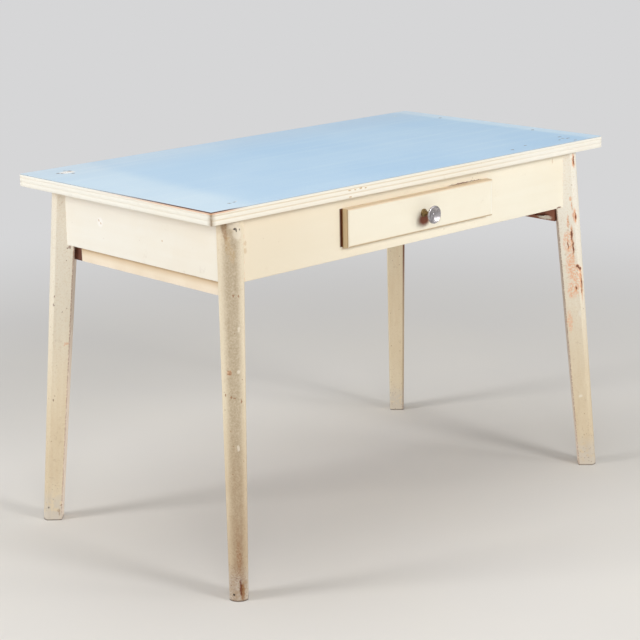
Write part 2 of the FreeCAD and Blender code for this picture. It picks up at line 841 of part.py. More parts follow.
def knob_cap():
    """A cap with a flared back, a rolled rim and a dish round a small dot."""
    rim = "Sizes.knob_diameter / 2 - Sizes.knob_rim_roll"
    rim_inner = f"{rim} - Sizes.knob_rim_width"
    roll = bow("Sizes.knob_rim_height", "Sizes.knob_rim_roll")
    dot = "Sizes.knob_dot_diameter / 2"
    floor = "Places.knob_dish_floor"
    shoulder = "Sizes.knob_shoulder_diameter / 2"
    profile = [
        ("0", "Sizes.knob_seat"),
        (shoulder, "Sizes.knob_seat", "-Sizes.knob_diameter / 2"),
        (rim, "Places.knob_rim_back", roll),
        (rim, "Sizes.knob_reach"),
        (rim_inner, "Sizes.knob_reach", "-Sizes.knob_diameter"),
        (dot, floor),
        (dot, f"{floor} + Sizes.knob_dot_height / 2"),
        (f"{dot} / 2", f"{floor} + Sizes.knob_dot_height"),
        ("0", f"{floor} + Sizes.knob_dot_height"),
    ]
    return at_knob(turned("KnobCap", profile), "Places.front_face_y", OUTWARDS)


knob_hole = knob_screw("KnobHole", "Sizes.hole_clearance")
front_tools = [*side_housings, panel_grooves[0], knob_hole]
node(cut("DrawerFront", drawer_front_blank(), front_tools), "drawer_front")
node(cut("KnobStem", knob_stem(), [knob_hole]), "knob_stem")
node(knob_cap(), "knob_cap")
node(knob_screw("KnobScrew"), "knob_screw")


# Check every object, then write one file for each sub-part

doc.recompute()
for thing in doc.Objects:
    broken = {"Invalid", "Error"} & set(thing.State)
    if broken:
        raise RuntimeError(f"{thing.Name} didn't build: {thing.State}")
for solid in nodes:
    if solid.Shape.isNull() or not solid.Shape.isValid() or not solid.Shape.Solids:
        raise RuntimeError(f"{solid.Label} has no valid solid")

os.makedirs("parts", exist_ok=True)
for solid in nodes:
    solid.Shape.exportStep(os.path.join("parts", f"{solid.Label}.step"))
    print(f"{solid.Label}: {len(solid.Shape.Solids)} solids, {solid.Shape.Volume:.0f} mm3")
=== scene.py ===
import math

import bpy
from mathutils import Matrix, Vector


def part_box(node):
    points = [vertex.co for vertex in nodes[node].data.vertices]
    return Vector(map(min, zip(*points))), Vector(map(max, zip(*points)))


# The looks of a painted kitchen table with a laminate top and one drawer.
# Lengths are in metres. X runs along the table, the drawer opens towards minus Y, Z is up.

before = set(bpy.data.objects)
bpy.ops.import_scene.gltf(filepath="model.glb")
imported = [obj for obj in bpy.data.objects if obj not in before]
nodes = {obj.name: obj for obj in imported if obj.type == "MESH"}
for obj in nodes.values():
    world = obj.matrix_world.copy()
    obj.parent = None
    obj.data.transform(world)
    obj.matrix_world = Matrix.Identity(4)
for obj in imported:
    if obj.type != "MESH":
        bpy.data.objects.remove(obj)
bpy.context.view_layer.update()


# Sizes and places of the table, from the frame

TOP_HALF_LENGTH, TOP_HALF_WIDTH, TOP_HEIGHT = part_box("top_laminate")[1]
EDGE_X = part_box("edging_right")[1].x
EDGE_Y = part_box("edging_back")[1].y
EDGING_BOTTOM, EDGING_TOP = (corner.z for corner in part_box("edging_front"))
APRON_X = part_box("right_apron")[1].x
APRON_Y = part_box("back_apron")[1].y
APRON_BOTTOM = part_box("left_apron")[0].z
RAIL_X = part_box("right_end_rail")[1].x
LEG_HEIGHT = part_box("leg_front_left")[1].z
DRAWER_LOW, DRAWER_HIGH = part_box("drawer_front")


# Colours, as they look on a screen


def screen(red, green, blue):
    """The linear colour of a screen colour given from 0 to 255."""
    white = 255
    knee, slope, lift, power = 0.04045, 12.92, 0.055, 2.4
    shares = [value / white for value in (red, green, blue)]
    linear = [
        share / slope if share <= knee else ((share + lift) / (1 + lift)) ** power for share in shares
    ]
    return (*linear, 1.0)


LAMINATE_BLUE = screen(174, 207, 234)
LAMINATE_PALE = screen(211, 230, 242)
LAMINATE_EDGE = screen(176, 190, 198)
LAMINATE_GREY = screen(216, 214, 212)
PHENOLIC = screen(84, 48, 34)
CREAM = screen(243, 237, 219)
WHITE_CREAM = screen(243, 240, 230)
AGED_CREAM = screen(228, 210, 176)
YELLOWED = screen(227, 213, 188)
LEG_CREAM = screen(232, 218, 190)
LEG_AGED = screen(214, 192, 156)
LEG_PALE = screen(238, 229, 212)
SCUFF_GREY = screen(186, 172, 158)
SCUFF_PALE = screen(208, 199, 186)
TAN = screen(196, 164, 118)
# Grime, also used as painted shade and shadow
GRIME_AND_SHADE = screen(150, 116, 82)
# Stain, also used as painted shade
STAIN_AND_SHADE = screen(146, 104, 62)
# Grime, also used as painted shade on the legs' noses
NOSE_GRIME_AND_SHADE = screen(170, 152, 126)
RUST = screen(150, 106, 72)
PEACH = screen(236, 186, 150)
BARE_WOOD = screen(224, 161, 115)
# Dark bared wood, also used as painted shade
DEEP_WOOD_AND_SHADE = screen(104, 42, 14)
HOLE = screen(34, 16, 8)
RAW_WOOD = screen(136, 80, 56)
# Dark raw wood, also used as painted shade
RAW_WOOD_AND_SHADE_DARK = screen(84, 44, 28)
# Raw wood with painted light
RAW_WOOD_LIT = screen(186, 124, 98)
FRESH_WOOD = screen(252, 246, 230)
STRIP_CREAM = screen(240, 226, 205)
# Filler white, also used as a painted highlight
FILLER_AND_HIGHLIGHT = screen(252, 250, 245)
INNER_SHADE = screen(248, 231, 213)
ARRIS_WOOD = screen(136, 86, 58)
KNOB_SHADE = screen(120, 48, 4)
BOX_WOOD = screen(196, 160, 116)
BOX_WOOD_DARK = screen(164, 126, 88)
DRAWER_END = screen(220, 198, 160)
DRAWER_TOP = screen(242, 222, 192)
CHROME = screen(194, 190, 192)
CHROME_DULL = screen(138, 132, 134)
STEM_BRASS = screen(142, 120, 82)
STEM_DULL = screen(96, 72, 46)
STEEL = screen(168, 166, 160)
STEEL_DULL = screen(118, 104, 88)
FLOOR = screen(226, 223, 218)
BACKDROP = screen(214, 214, 215)


# Shader nodes


class Finish:
    """One material. Its methods take sockets or plain values and give back a socket."""

    relief_unit = 0.001

    def __init__(self, name, colour=None):
        self.material = bpy.data.materials.new(name)
        self.material.use_nodes = True
        self.tree = self.material.node_tree
        self.shader = self.tree.nodes["Principled BSDF"]
        coordinates = self.add("ShaderNodeTexCoord")
        self.place = coordinates.outputs["Object"]
        self.normal = coordinates.outputs["Normal"]
        self.colour = colour
        self.relief = 0.0
        self.roughness = None

    def add(self, kind, **settings):
        """A new node with some settings of its own."""
        node = self.tree.nodes.new(kind)
        for setting, value in settings.items():
            setattr(node, setting, value)
        return node

    def feed(self, socket, value):
        """Links a socket to another one, or gives it a plain value."""
        if isinstance(value, bpy.types.NodeSocket):
            self.tree.links.new(value, socket)
        else:
            socket.default_value = value

    def set(self, **values):
        """Gives the shader's own sockets their values: base_color stands for Base Color."""
        for name, value in values.items():
            self.feed(self.shader.inputs[name.replace("_", " ").title()], value)

    def shine(self, level):
        """How strongly the surface mirrors. Plain plastic or varnish is at one half."""
        self.feed(self.shader.inputs["Specular IOR Level"], level)

    def math(self, operation, first, second=0.0):
        node = self.add("ShaderNodeMath", operation=operation)
        self.feed(node.inputs[0], first)
        self.feed(node.inputs[1], second)
        return node.outputs[0]

    def total(self, *values):
        result = values[0]
        for value in values[1:]:
            result = self.math("ADD", result, value)
        return result

    def less(self, first, second):
        return self.math("SUBTRACT", first, second)

    def times(self, *values):
        result = values[0]
        for value in values[1:]:
            result = self.math("MULTIPLY", result, value)
        return result

    def most(self, *values):
        result = values[0]
        for value in values[1:]:
            result = self.math("MAXIMUM", result, value)
        return result

    def vector(self, operation, first, second):
        node = self.add("ShaderNodeVectorMath", operation=operation)
        self.feed(node.inputs[0], first)
        self.feed(node.inputs[1], second)
        return node.outputs["Value" if operation in ("LENGTH", "DOT_PRODUCT") else "Vector"]

    def axis(self, letter, vector=None):
        """One coordinate of a vector, or else of the place."""
        node = self.add("ShaderNodeSeparateXYZ")
        self.feed(node.inputs[0], vector or self.place)
        return node.outputs[letter]

    def ramp(self, value, low, high, start=0.0, end=1.0):
        """From start at low to end at high, smooth and clamped. Low may be above high."""
        node = self.add("ShaderNodeMapRange", interpolation_type="SMOOTHSTEP")
        for name, number in (("Value", value), ("From Min", low), ("From Max", high)):
            self.feed(node.inputs[name], number)
        self.feed(node.inputs["To Min"], start)
        self.feed(node.inputs["To Max"], end)
        return node.outputs["Result"]

    def mix(self, factor, first, second):
        """A colour between two colours."""
        node = self.add("ShaderNodeMix", data_type="RGBA")
        factor_socket, first_socket, second_socket = (node.inputs[i] for i in (0, 6, 7))
        self.feed(factor_socket, factor)
        self.feed(first_socket, first)
        self.feed(second_socket, second)
        return node.outputs[2]

    def stretched(self, stretch, shift=(0, 0, 0)):
        """The place with each axis scaled, so that a texture is drawn out along the small ones."""
        node = self.add("ShaderNodeMapping")
        self.feed(node.inputs["Vector"], self.place)
        self.feed(node.inputs["Scale"], stretch)
        self.feed(node.inputs["Location"], shift)
        return node.outputs["Vector"]

    def noise(self, scale, detail=3.0, roughness=0.5, stretch=(1, 1, 1), shift=(0, 0, 0)):
        """Soft noise, about one half on average."""
        node = self.add("ShaderNodeTexNoise")
        self.feed(node.inputs["Vector"], self.stretched(stretch, shift))
        for name, number in (("Scale", scale), ("Detail", detail), ("Roughness", roughness)):
            self.feed(node.inputs[name], number)
        return node.outputs[0]

    def cells(self, scale, stretch=(1, 1, 1), shift=(0, 0, 0)):
        """Distance from the nearest of many scattered points."""
        node = self.add("ShaderNodeTexVoronoi")
        self.feed(node.inputs["Vector"], self.stretched(stretch, shift))
        self.feed(node.inputs["Scale"], scale)
        return node.outputs["Distance"]

    def ragged(self, amount, scale, detail=2.0):
        """The place, pushed about by noise so that outlines drawn with it are uneven."""
        node = self.add("ShaderNodeTexNoise")
        self.feed(node.inputs["Vector"], self.place)
        self.feed(node.inputs["Scale"], scale)
        self.feed(node.inputs["Detail"], detail)
        half = (0.5, 0.5, 0.5)
        push = self.vector("SUBTRACT", node.outputs["Color"], half)
        push = self.vector("MULTIPLY", push, (amount, amount, amount))
        return self.vector("ADD", self.place, push)

    def spots(self, place, shapes, soft=0.35):
        """One inside any of some ellipsoids, each a centre and radii, falling off at the outline."""
        inside = []
        for centre, radii in shapes:
            offset = self.vector("SUBTRACT", place, centre)
            offset = self.vector("DIVIDE", offset, radii)
            inside.append(self.ramp(self.vector("LENGTH", offset, offset), 1 + soft, 1 - soft))
        return self.most(*inside)

    def specks(self, scale, size_share, amount):
        """Scattered dots. Amount is the share of the cells that have one."""
        dots = self.ramp(self.cells(scale), size_share, size_share / 2)
        gate = self.ramp(self.noise(scale / 2, detail=1), 0.68 - amount / 2, 0.72 - amount / 2)
        return self.times(dots, gate)

    def edges(self, radius, low=0.02, high=0.3):
        """One near the sharp edges of the piece."""
        bevel = self.add("ShaderNodeBevel", samples=6)
        self.feed(bevel.inputs["Radius"], radius)
        geometry = self.add("ShaderNodeNewGeometry")
        along = self.vector("DOT_PRODUCT", bevel.outputs["Normal"], geometry.outputs["Normal"])
        return self.ramp(self.less(1.0, along), low, high)

    def layer(self, tone, mask, strength=1.0):
        """Lays a colour over what is there."""
        self.colour = self.mix(self.times(mask, strength), self.colour, tone)

    def raise_by(self, mask, height):
        """Lifts the surface by a height in relief units, or lowers it."""
        self.relief = self.total(self.times(mask, height), self.relief)

    def close(self, roughness):
        """Joins the layers and the relief to the shader."""
        self.set(base_color=self.colour, roughness=roughness)
        node = self.add("ShaderNodeBump")
        self.feed(node.inputs["Height"], self.relief)
        self.feed(node.inputs["Distance"], self.relief_unit)
        self.set(normal=node.outputs["Normal"])

    def put_on(self, *names):
        """Puts the finish on CAD nodes."""
        for name in names:
            mesh = nodes[name].data
            mesh.materials.clear()
            mesh.materials.append(self.material)


# What several finishes share

# Grain that runs along an axis
ALONG_X = (0.06, 1, 1)
ALONG_Y = (1, 0.06, 1)
ALONG_Z = (1, 1, 0.06)

# How far noise pushes the outlines of marks
COARSE_RAGGED, MIDDLE_RAGGED, FINE_RAGGED = 0.006, 0.004, 0.003

# How far marks on a flat face reach into it
SKIN = 0.004


def on_top(spots):
    """Spots on the top, given by x, y, half length and half width."""
    return [((x, y, TOP_HEIGHT), (length, width, SKIN)) for x, y, length, width in spots]


def on_front(y, spots):
    """Spots on a face that looks along Y, given by x, z, half length and half height."""
    return [((x, y, z), (length, SKIN, height)) for x, z, length, height in spots]


def on_end(x, spots):
    """Spots on a face that looks along X, given by y, z, half width and half height."""
    return [((x, y, z), (SKIN, width, height)) for y, z, width, height in spots]


# Laminate of the top

PALE_BAND_START, PALE_BAND_FULL = -0.42, -0.49
PALE_BAND_SLANT = 0.11
RIGHT_STRIP_START, RIGHT_STRIP_FULL = 0.545, 0.575
# Where the painted reflection greys the top towards its back edge
BACK_SHEEN_START, BACK_SHEEN_FULL = 0.12, 0.32
BROWN_EDGE_BACK, BROWN_EDGE_FRONT = 0.12, -0.25
BROWN_FRONT_END, BROWN_FRONT_FULL = -0.50, -0.57
BROWN_WIDTH = 0.0036
THREAD_RELIEF, CHIP_RELIEF = 0.04, -0.3

# Chips over the screws and near the edges
DARK_CHIPS = on_top([
    (-0.499, -0.272, 0.0038, 0.0025),
    (-0.541, 0.259, 0.004, 0.004),
    (-0.535, 0.253, 0.003, 0.004),
    (-0.508, 0.263, 0.005, 0.005),
    (-0.518, 0.235, 0.004, 0.004),
    (0.526, -0.252, 0.006, 0.002),
    (0.523, -0.279, 0.007, 0.0025),
    (0.513, -0.309, 0.005, 0.002),
    (0.492, -0.280, 0.004, 0.002),
    (0.566, 0.165, 0.005, 0.003),
    (0.566, -0.137, 0.004, 0.003),
    (0.380, -0.271, 0.005, 0.0025),
    (0.317, -0.286, 0.005, 0.0025),
])
WHITE_CHIPS = on_top([
    (-0.520, 0.254, 0.017, 0.012),
    (-0.490, -0.267, 0.003, 0.0020),
])


def laminate():
    """A woven pale blue, paler in bands and greyer towards the back as a painted reflection, with
    chips and a brown rim where it is rubbed.
    """
    finish = Finish("blue_laminate", LAMINATE_BLUE)
    x = finish.axis("X")
    y = finish.axis("Y")
    weave = finish.noise(900, detail=2, stretch=(0.15, 1, 1))
    cross = finish.noise(900, detail=2, stretch=(1, 0.15, 1))
    threads = finish.total(weave, cross)
    cloud = finish.noise(3, detail=4)
    streaks = finish.noise(30, detail=4, roughness=0.6, stretch=(0.05, 1, 1))
    scratches = finish.noise(160, detail=3, roughness=0.7, stretch=(0.03, 1, 1), shift=(3, 1, 0))
    slanted = finish.less(x, finish.times(y, PALE_BAND_SLANT))
    # Paler in a slanted band at the left end, at the right end, and in clouds, streaks and threads
    paler = finish.total(
        finish.ramp(slanted, PALE_BAND_START, PALE_BAND_FULL, 0, 0.4),
        finish.ramp(slanted, 0, PALE_BAND_START, 0, 0.18),
        finish.ramp(x, RIGHT_STRIP_START, RIGHT_STRIP_FULL, 0, 0.55),
        finish.ramp(cloud, 0.35, 0.75, 0, 0.3),
        finish.ramp(streaks, 0.45, 0.7, 0, 0.16),
        finish.ramp(threads, 0.8, 1.2, 0, 0.12),
    )
    finish.layer(LAMINATE_PALE, paler)
    # Painted reflection: a grey sheen towards the back edge
    finish.layer(LAMINATE_GREY, finish.ramp(y, BACK_SHEEN_START, BACK_SHEEN_FULL), 0.2)
    finish.layer(WHITE_CREAM, finish.ramp(scratches, 0.7, 0.8), 0.35)
    place = finish.ragged(COARSE_RAGGED, 220)
    white_chips = finish.spots(place, WHITE_CHIPS)
    dark_chips = finish.spots(place, DARK_CHIPS)
    flecks = finish.ramp(finish.noise(300, detail=1), 0.58, 0.64)
    finish.layer(FILLER_AND_HIGHLIGHT, white_chips)
    finish.layer(SCUFF_GREY, finish.times(white_chips, flecks))
    finish.layer(PHENOLIC, dark_chips, 0.8)
    side = finish.ramp(finish.axis("Z", finish.normal), 0.7, 0.4)
    finish.layer(LAMINATE_EDGE, side)
    left_rub = finish.times(
        finish.ramp(y, BROWN_EDGE_BACK, BROWN_EDGE_FRONT),
        finish.ramp(finish.total(x, TOP_HALF_LENGTH), BROWN_WIDTH, BROWN_WIDTH / 2),
    )
    front_rub = finish.times(
        finish.ramp(x, BROWN_FRONT_END, BROWN_FRONT_FULL),
        finish.ramp(finish.total(y, TOP_HALF_WIDTH), BROWN_WIDTH, BROWN_WIDTH / 2),
    )
    finish.layer(PHENOLIC, finish.most(left_rub, front_rub))
    finish.raise_by(threads, THREAD_RELIEF)
    finish.raise_by(dark_chips, CHIP_RELIEF)
    finish.close(finish.ramp(cloud, 0.3, 0.8, 0.6, 0.72))
    finish.put_on("top_laminate")


laminate()


# Painted boards

PAINT_SHINE = 0.25
BRUSH_RELIEF, CLOUD_RELIEF = 0.12, 0.3


def paint(name, coat, aged, grain, yellowing=0.35, grime=0.25, specks=0.5):
    """A brushed oil paint, with clouds of age, brush marks, grime and specks."""
    finish = Finish(name, coat)
    finish.shine(PAINT_SHINE)
    cloud = finish.noise(4, detail=5, roughness=0.6)
    brush = finish.noise(60, detail=4, stretch=grain)
    finish.layer(aged, finish.ramp(cloud, 0.35, 0.75), yellowing)
    finish.layer(aged, finish.ramp(brush, 0.3, 0.7), yellowing / 3)
    finish.layer(GRIME_AND_SHADE, finish.ramp(finish.noise(25, detail=6, roughness=0.7), 0.6, 0.8), grime)
    finish.layer(STAIN_AND_SHADE, finish.specks(45, 0.07, 0.3), specks)
    finish.raise_by(brush, BRUSH_RELIEF)
    finish.raise_by(cloud, CLOUD_RELIEF)
    finish.roughness = finish.ramp(cloud, 0.3, 0.7, 0.38, 0.5)
    return finish


def rub(finish, radius, tone, strength):
    """Wears the paint through along the sharp edges."""
    uneven = finish.ramp(finish.noise(110, detail=4, roughness=0.7), 0.48, 0.62)
    finish.layer(tone, finish.times(finish.edges(radius), uneven), strength)


# Edging strips

GROOVE_HEIGHTS = (0.0096, 0.0191)
GROOVE_HALF = 0.0022
MITRE_HALF, MITRE_DIRT = 0.004, 0.015
# Where the dirt and painted shade in the grooves fade out from the left
DIRT_AND_SHADE_LEFT, DIRT_AND_SHADE_RIGHT = 0.05, 0.45
LIP_DROP, LIP_SOFT = 0.0024, 0.001
FLECK_DEPTH = 0.0005
FRONT_FLECKS = on_front(FLECK_DEPTH - EDGE_Y, [
    (-0.198, 0.7905, 0.004, 0.0016),
    (-0.184, 0.7893, 0.003, 0.0013),
    (-0.214, 0.7893, 0.003, 0.0012),
    (-0.230, 0.7900, 0.004, 0.0010),
    (-0.228, 0.7764, 0.004, 0.0012),
])


def edging(name, grain, length_axis, corner, strips, groove_tan):
    """Ribbed strips with dirt and painted shade in the grooves, most at the left, and dirt at the
    mitres, most at the front left corner.
    """
    finish = paint(name, WHITE_CREAM, AGED_CREAM, grain, yellowing=0.15)
    z = finish.axis("Z")
    dirt_and_shade = finish.ramp(finish.axis("X"), DIRT_AND_SHADE_LEFT, DIRT_AND_SHADE_RIGHT, 1, 0.2)
    # Painted shade in the grooves, mixed with dirt, strongest towards the left
    for height in GROOVE_HEIGHTS:
        away = finish.math("ABSOLUTE", finish.less(z, EDGING_BOTTOM + height))
        finish.layer(TAN, finish.times(finish.ramp(away, GROOVE_HALF, 0), dirt_and_shade), groove_tan)
    front = finish.ramp(finish.axis("Y"), 0, -EDGE_Y)
    finish.layer(AGED_CREAM, finish.times(dirt_and_shade, front), groove_tan / 2)
    along = finish.math("ABSOLUTE", finish.axis(length_axis))
    to_mitre = finish.less(corner, along)
    dirty_corner = finish.times(
        finish.ramp(finish.axis("X"), 0, -EDGE_X / 2, 0.15, 1),
        finish.ramp(finish.axis("Y"), 0, -EDGE_Y / 2, 0.15, 1),
    )
    finish.layer(NOSE_GRIME_AND_SHADE, finish.times(finish.ramp(to_mitre, MITRE_DIRT, 0), dirty_corner), 0.7)
    patches = finish.ramp(finish.noise(130, detail=3), 0.3, 0.5)
    mitre = finish.ramp(to_mitre, MITRE_HALF, MITRE_HALF / 2)
    finish.layer(GRIME_AND_SHADE, finish.times(mitre, patches, dirty_corner), 0.5)
    lip = EDGING_TOP - LIP_DROP
    worn_corner = finish.times(
        finish.ramp(finish.axis("X"), BROWN_FRONT_END, BROWN_FRONT_FULL),
        finish.ramp(finish.axis("Y"), BROWN_EDGE_BACK, BROWN_EDGE_FRONT),
        finish.ramp(z, lip - LIP_SOFT, lip),
    )
    finish.layer(BARE_WOOD, worn_corner, 0.6)
    finish.layer(TAN, finish.spots(finish.ragged(FINE_RAGGED, 300), FRONT_FLECKS), 0.9)
    finish.close(finish.roughness)
    finish.put_on(*strips)


edging("edging_paint_long", ALONG_X, "X", EDGE_X, ("edging_front", "edging_back"), 0.42)
edging("edging_paint_end", ALONG_Y, "Y", EDGE_Y, ("edging_left", "edging_right"), 0.1)


# Aprons

# Between these the long aprons and the drawer front turn yellower towards the left
APRON_YELLOW_LEFT, APRON_YELLOW_RIGHT = -0.55, 0.25
EDGE_RUB = 0.0028
LEFT_FILLER = on_end(-APRON_X, [(0.131, 0.709, 0.0090, 0.0100)])
LEFT_NAILS = on_end(-APRON_X, [
    (0.1350, 0.7125, 0.0020, 0.0022),
    (0.1285, 0.7071, 0.0022, 0.0022),
    (-0.0780, 0.6990, 0.0018, 0.0018),
])
FRONT_STAINS = on_front(-APRON_Y, [
    (-0.491, 0.704, 0.0045, 0.0055),
    (-0.490, 0.719, 0.0025, 0.0060),
    (0.4546, 0.756, 0.002, 0.006),
])
LOW_DASH_DEPTH = 0.006
FRONT_DASHES_AND_GAP_SHADE = [
    ((0.480, -APRON_Y, 0.643), (0.008, LOW_DASH_DEPTH, 0.0022)),
    # Painted shade of the gap along the drawer front's top
    *on_front(-APRON_Y, [
        (0.135, 0.7488, 0.034, 0.0011),
        (0.185, 0.7488, 0.022, 0.0009),
    ]),
]
# Where the painted shadow line under the drawer front lies
SHADOW_DROP, SHADOW_HALF = 0.00175, 0.0045
SHADOW_PAST_END, SHADOW_END_SOFT = 0.001, 0.003
# Raw wood behind the drawer front, which at its left also stands as the drawer front's painted shadow
RAW_AND_SHADOW_MIDDLE = (-0.0055, -APRON_Y, 0.7075)
RAW_AND_SHADOW_HALF = (0.228, 0.03, 0.0408)


def inside_box(finish, middle, half, soft_share=0.02):
    """One inside a box, softly bordered."""
    offset = finish.vector("SUBTRACT", finish.place, middle)
    shares = finish.vector("ABSOLUTE", finish.vector("DIVIDE", offset, half), half)
    far = finish.most(*(finish.axis(letter, shares) for letter in "XYZ"))
    return finish.ramp(far, 1, 1 - soft_share)


def long_aprons():
    """Front and back aprons, with a painted shadow under the drawer and raw wood in its opening,
    which at the drawer's left also stands as its painted shadow.
    """
    finish = paint("apron_paint_long", CREAM, AGED_CREAM, ALONG_X, yellowing=0.2)
    finish.layer(YELLOWED, finish.ramp(finish.axis("X"), APRON_YELLOW_RIGHT, APRON_YELLOW_LEFT), 0.75)
    place = finish.ragged(COARSE_RAGGED, 160)
    finish.layer(TAN, finish.spots(place, FRONT_STAINS), 0.4)
    # A dark dash low on the front, and painted gap shade above the drawer
    finish.layer(DEEP_WOOD_AND_SHADE, finish.spots(place, FRONT_DASHES_AND_GAP_SHADE), 0.8)
    # Painted shadow line on the apron under the drawer front
    from_line = finish.math("ABSOLUTE", finish.less(finish.axis("Z"), DRAWER_LOW.z - SHADOW_DROP))
    sideways = finish.math("ABSOLUTE", finish.axis("X"))
    shadow_end = DRAWER_HIGH.x + SHADOW_PAST_END
    shadow_line = finish.times(
        finish.ramp(from_line, SHADOW_HALF, 0),
        finish.ramp(sideways, shadow_end, shadow_end - SHADOW_END_SOFT),
        finish.ramp(finish.axis("Y"), 0, -EDGE_Y / 2),
    )
    finish.layer(TAN, shadow_line, 0.6)
    # Raw wood in the opening, and the drawer front's painted shadow where it shows at the left
    finish.layer(RAW_WOOD_AND_SHADE_DARK, inside_box(finish, RAW_AND_SHADOW_MIDDLE, RAW_AND_SHADOW_HALF))
    rub(finish, EDGE_RUB, BARE_WOOD, 0.6)
    finish.close(finish.roughness)
    finish.put_on("front_apron", "back_apron")


def end_aprons():
    """Left and right aprons, the left one with a filled patch and nail marks."""
    finish = paint("apron_paint_end", WHITE_CREAM, AGED_CREAM, ALONG_Y, yellowing=0.2, specks=0.2)
    place = finish.ragged(MIDDLE_RAGGED, 160)
    finish.layer(FILLER_AND_HIGHLIGHT, finish.spots(place, LEFT_FILLER), 0.75)
    finish.layer(TAN, finish.spots(place, LEFT_NAILS), 0.7)
    rub(finish, EDGE_RUB, BARE_WOOD, 0.5)
    finish.close(finish.roughness)
    finish.put_on("left_apron", "right_apron")


long_aprons()
end_aprons()


# Drawer front

# A stain below the knob, darkened further as the knob's painted shadow
KNOB_SHADOW_AND_STAIN = [((0.001, DRAWER_LOW.y, 0.6925), (0.0175, 0.006, 0.0132))]
# Painted shade of the gap between the drawer front's top and the apron
TOP_GAP_SHADE = [((0.135, -0.2905, 0.7482), (0.04, 0.0025, 0.004))]
DRAWER_EDGE = 0.003
# How far the raw wood and painted gap shade reach on the backs of the ends
RAW_SHADED_BACK_DEPTH, RAW_SHADED_BACK_FULL_DEPTH = 0.0038, 0.0022


def drawer_front():
    """Cream paint, stained below the knob under a painted knob shadow, with painted highlight and
    shade on the roundings and the backs of the ends, worn edges and a raw inner face.
    """
    finish = paint("drawer_paint", CREAM, AGED_CREAM, ALONG_X, yellowing=0.2)
    finish.layer(YELLOWED, finish.ramp(finish.axis("X"), APRON_YELLOW_RIGHT, APRON_YELLOW_LEFT), 0.4)
    # Stain and painted knob shadow below the knob
    shadow_and_stain = finish.spots(finish.ragged(FINE_RAGGED, 150), KNOB_SHADOW_AND_STAIN, soft=0.45)
    finish.layer(KNOB_SHADE, shadow_and_stain, 0.95)
    rightwards = finish.axis("X", finish.normal)
    # Painted highlight, then painted shade, on the right end's rounding as it turns away
    painted_highlight = finish.times(
        finish.ramp(rightwards, 0.08, 0.2),
        finish.ramp(rightwards, 0.45, 0.3),
    )
    finish.layer(FILLER_AND_HIGHLIGHT, painted_highlight, 0.6)
    finish.layer(TAN, finish.ramp(rightwards, 0.4, 0.6), 0.6)
    turned = finish.math("ABSOLUTE", rightwards)
    ends = finish.ramp(turned, 0.75, 0.95)
    finish.layer(DRAWER_END, ends)
    dark_line = finish.times(
        finish.ramp(turned, 0.8, 0.92),
        finish.ramp(turned, 0.995, 0.95),
    )
    finish.layer(STAIN_AND_SHADE, dark_line, 0.6)
    # The backs of the ends darken, as raw wood and the painted shade of the gap to the apron
    from_back = finish.less(DRAWER_HIGH.y, finish.axis("Y"))
    raw_and_shaded_back = finish.ramp(from_back, RAW_SHADED_BACK_DEPTH, RAW_SHADED_BACK_FULL_DEPTH)
    finish.layer(STAIN_AND_SHADE, finish.times(ends, raw_and_shaded_back))
    upright = finish.axis("Z", finish.normal)
    finish.layer(DRAWER_TOP, finish.ramp(upright, 0.35, 0.8), 0.9)
    # Painted shade on the lower rounding
    finish.layer(TAN, finish.ramp(upright, -0.25, -0.6), 0.75)
    # Painted shade of the gap at the top's back edge
    finish.layer(DEEP_WOOD_AND_SHADE, finish.spots(finish.ragged(MIDDLE_RAGGED, 120), TOP_GAP_SHADE), 0.85)
    inner = finish.ramp(finish.axis("Y", finish.normal), 0.6, 0.8)
    finish.layer(BOX_WOOD, inner)
    rub(finish, DRAWER_EDGE, TAN, 0.6)
    finish.close(finish.roughness)
    finish.put_on("drawer_front")


drawer_front()


# Legs, whose finish works in each leg's own axes: X back from the nose, Y across, Z up

LEG_SIDES = {
    "front_left": (-1, -1),
    "front_right": (1, -1),
    "back_left": (-1, 1),
    "back_right": (1, 1),
}

# Sizes of a leg, as its solid has them
HEAD_REACH, FOOT_REACH = 0.0047, 0.068
HEAD_DEPTH, FOOT_DEPTH = 0.058, 0.043
INNER_HEAD_HALF, INNER_FOOT_HALF = 0.0253, 0.01765
ARRIS = 0.003

# Reaches and heights of what is on the paint
INNER_SHADE_FULL = 0.001
ARRIS_FULL_DEPTH, ARRIS_FULL_WIDTH = 0.0018, 0.0015
DARK_EDGE_WIDTH = 0.006
DARK_EDGE_DEPTH, DARK_EDGE_FULL_DEPTH = 0.009, 0.0045
NOSE_HEAD_REACH, NOSE_FOOT_REACH = 0.026, 0.019
NOSE_SHIFT = 0.0025
NOSE_FLAT = 0.006
NOSE_BACK = 0.028
RUST_REACH = 0.011
HEAD_WHITE_LOW, HEAD_WHITE_FULL = 0.15, 0.68
# Heights of the dirt and painted floor light on the lower leg
GRIME_AND_BOUNCE_TOP, GRIME_AND_BOUNCE_FULL = 0.50, 0.02
RUST_TOP, RUST_FULL, RUST_END = 0.34, 0.14, 0.04
FOOT_SCUFF_TOP, FOOT_SCUFF_FULL = 0.085, 0.03
FOOT_SPECKS_TOP, FOOT_SPECKS_FULL = 0.18, 0.04
FOOT_LINE = 0.004
LEG_RUB = 0.002
LEG_RAGGED = 0.0075
LEG_BRUSH_RELIEF, LEG_MOTTLE_RELIEF = 0.15, 0.12
RUST_STRENGTH_SHARE, ARRIS_STRENGTH_SHARE = 0.8, 0.6

# How far marks on a flank reach into the leg
FLANK_SKIN = 0.008


def grown(shapes, growth_share=0.8):
    """The same spots, larger, for what shows around them."""
    growth = 1 + growth_share
    return [(centre, tuple(radius * growth for radius in radii)) for centre, radii in shapes]


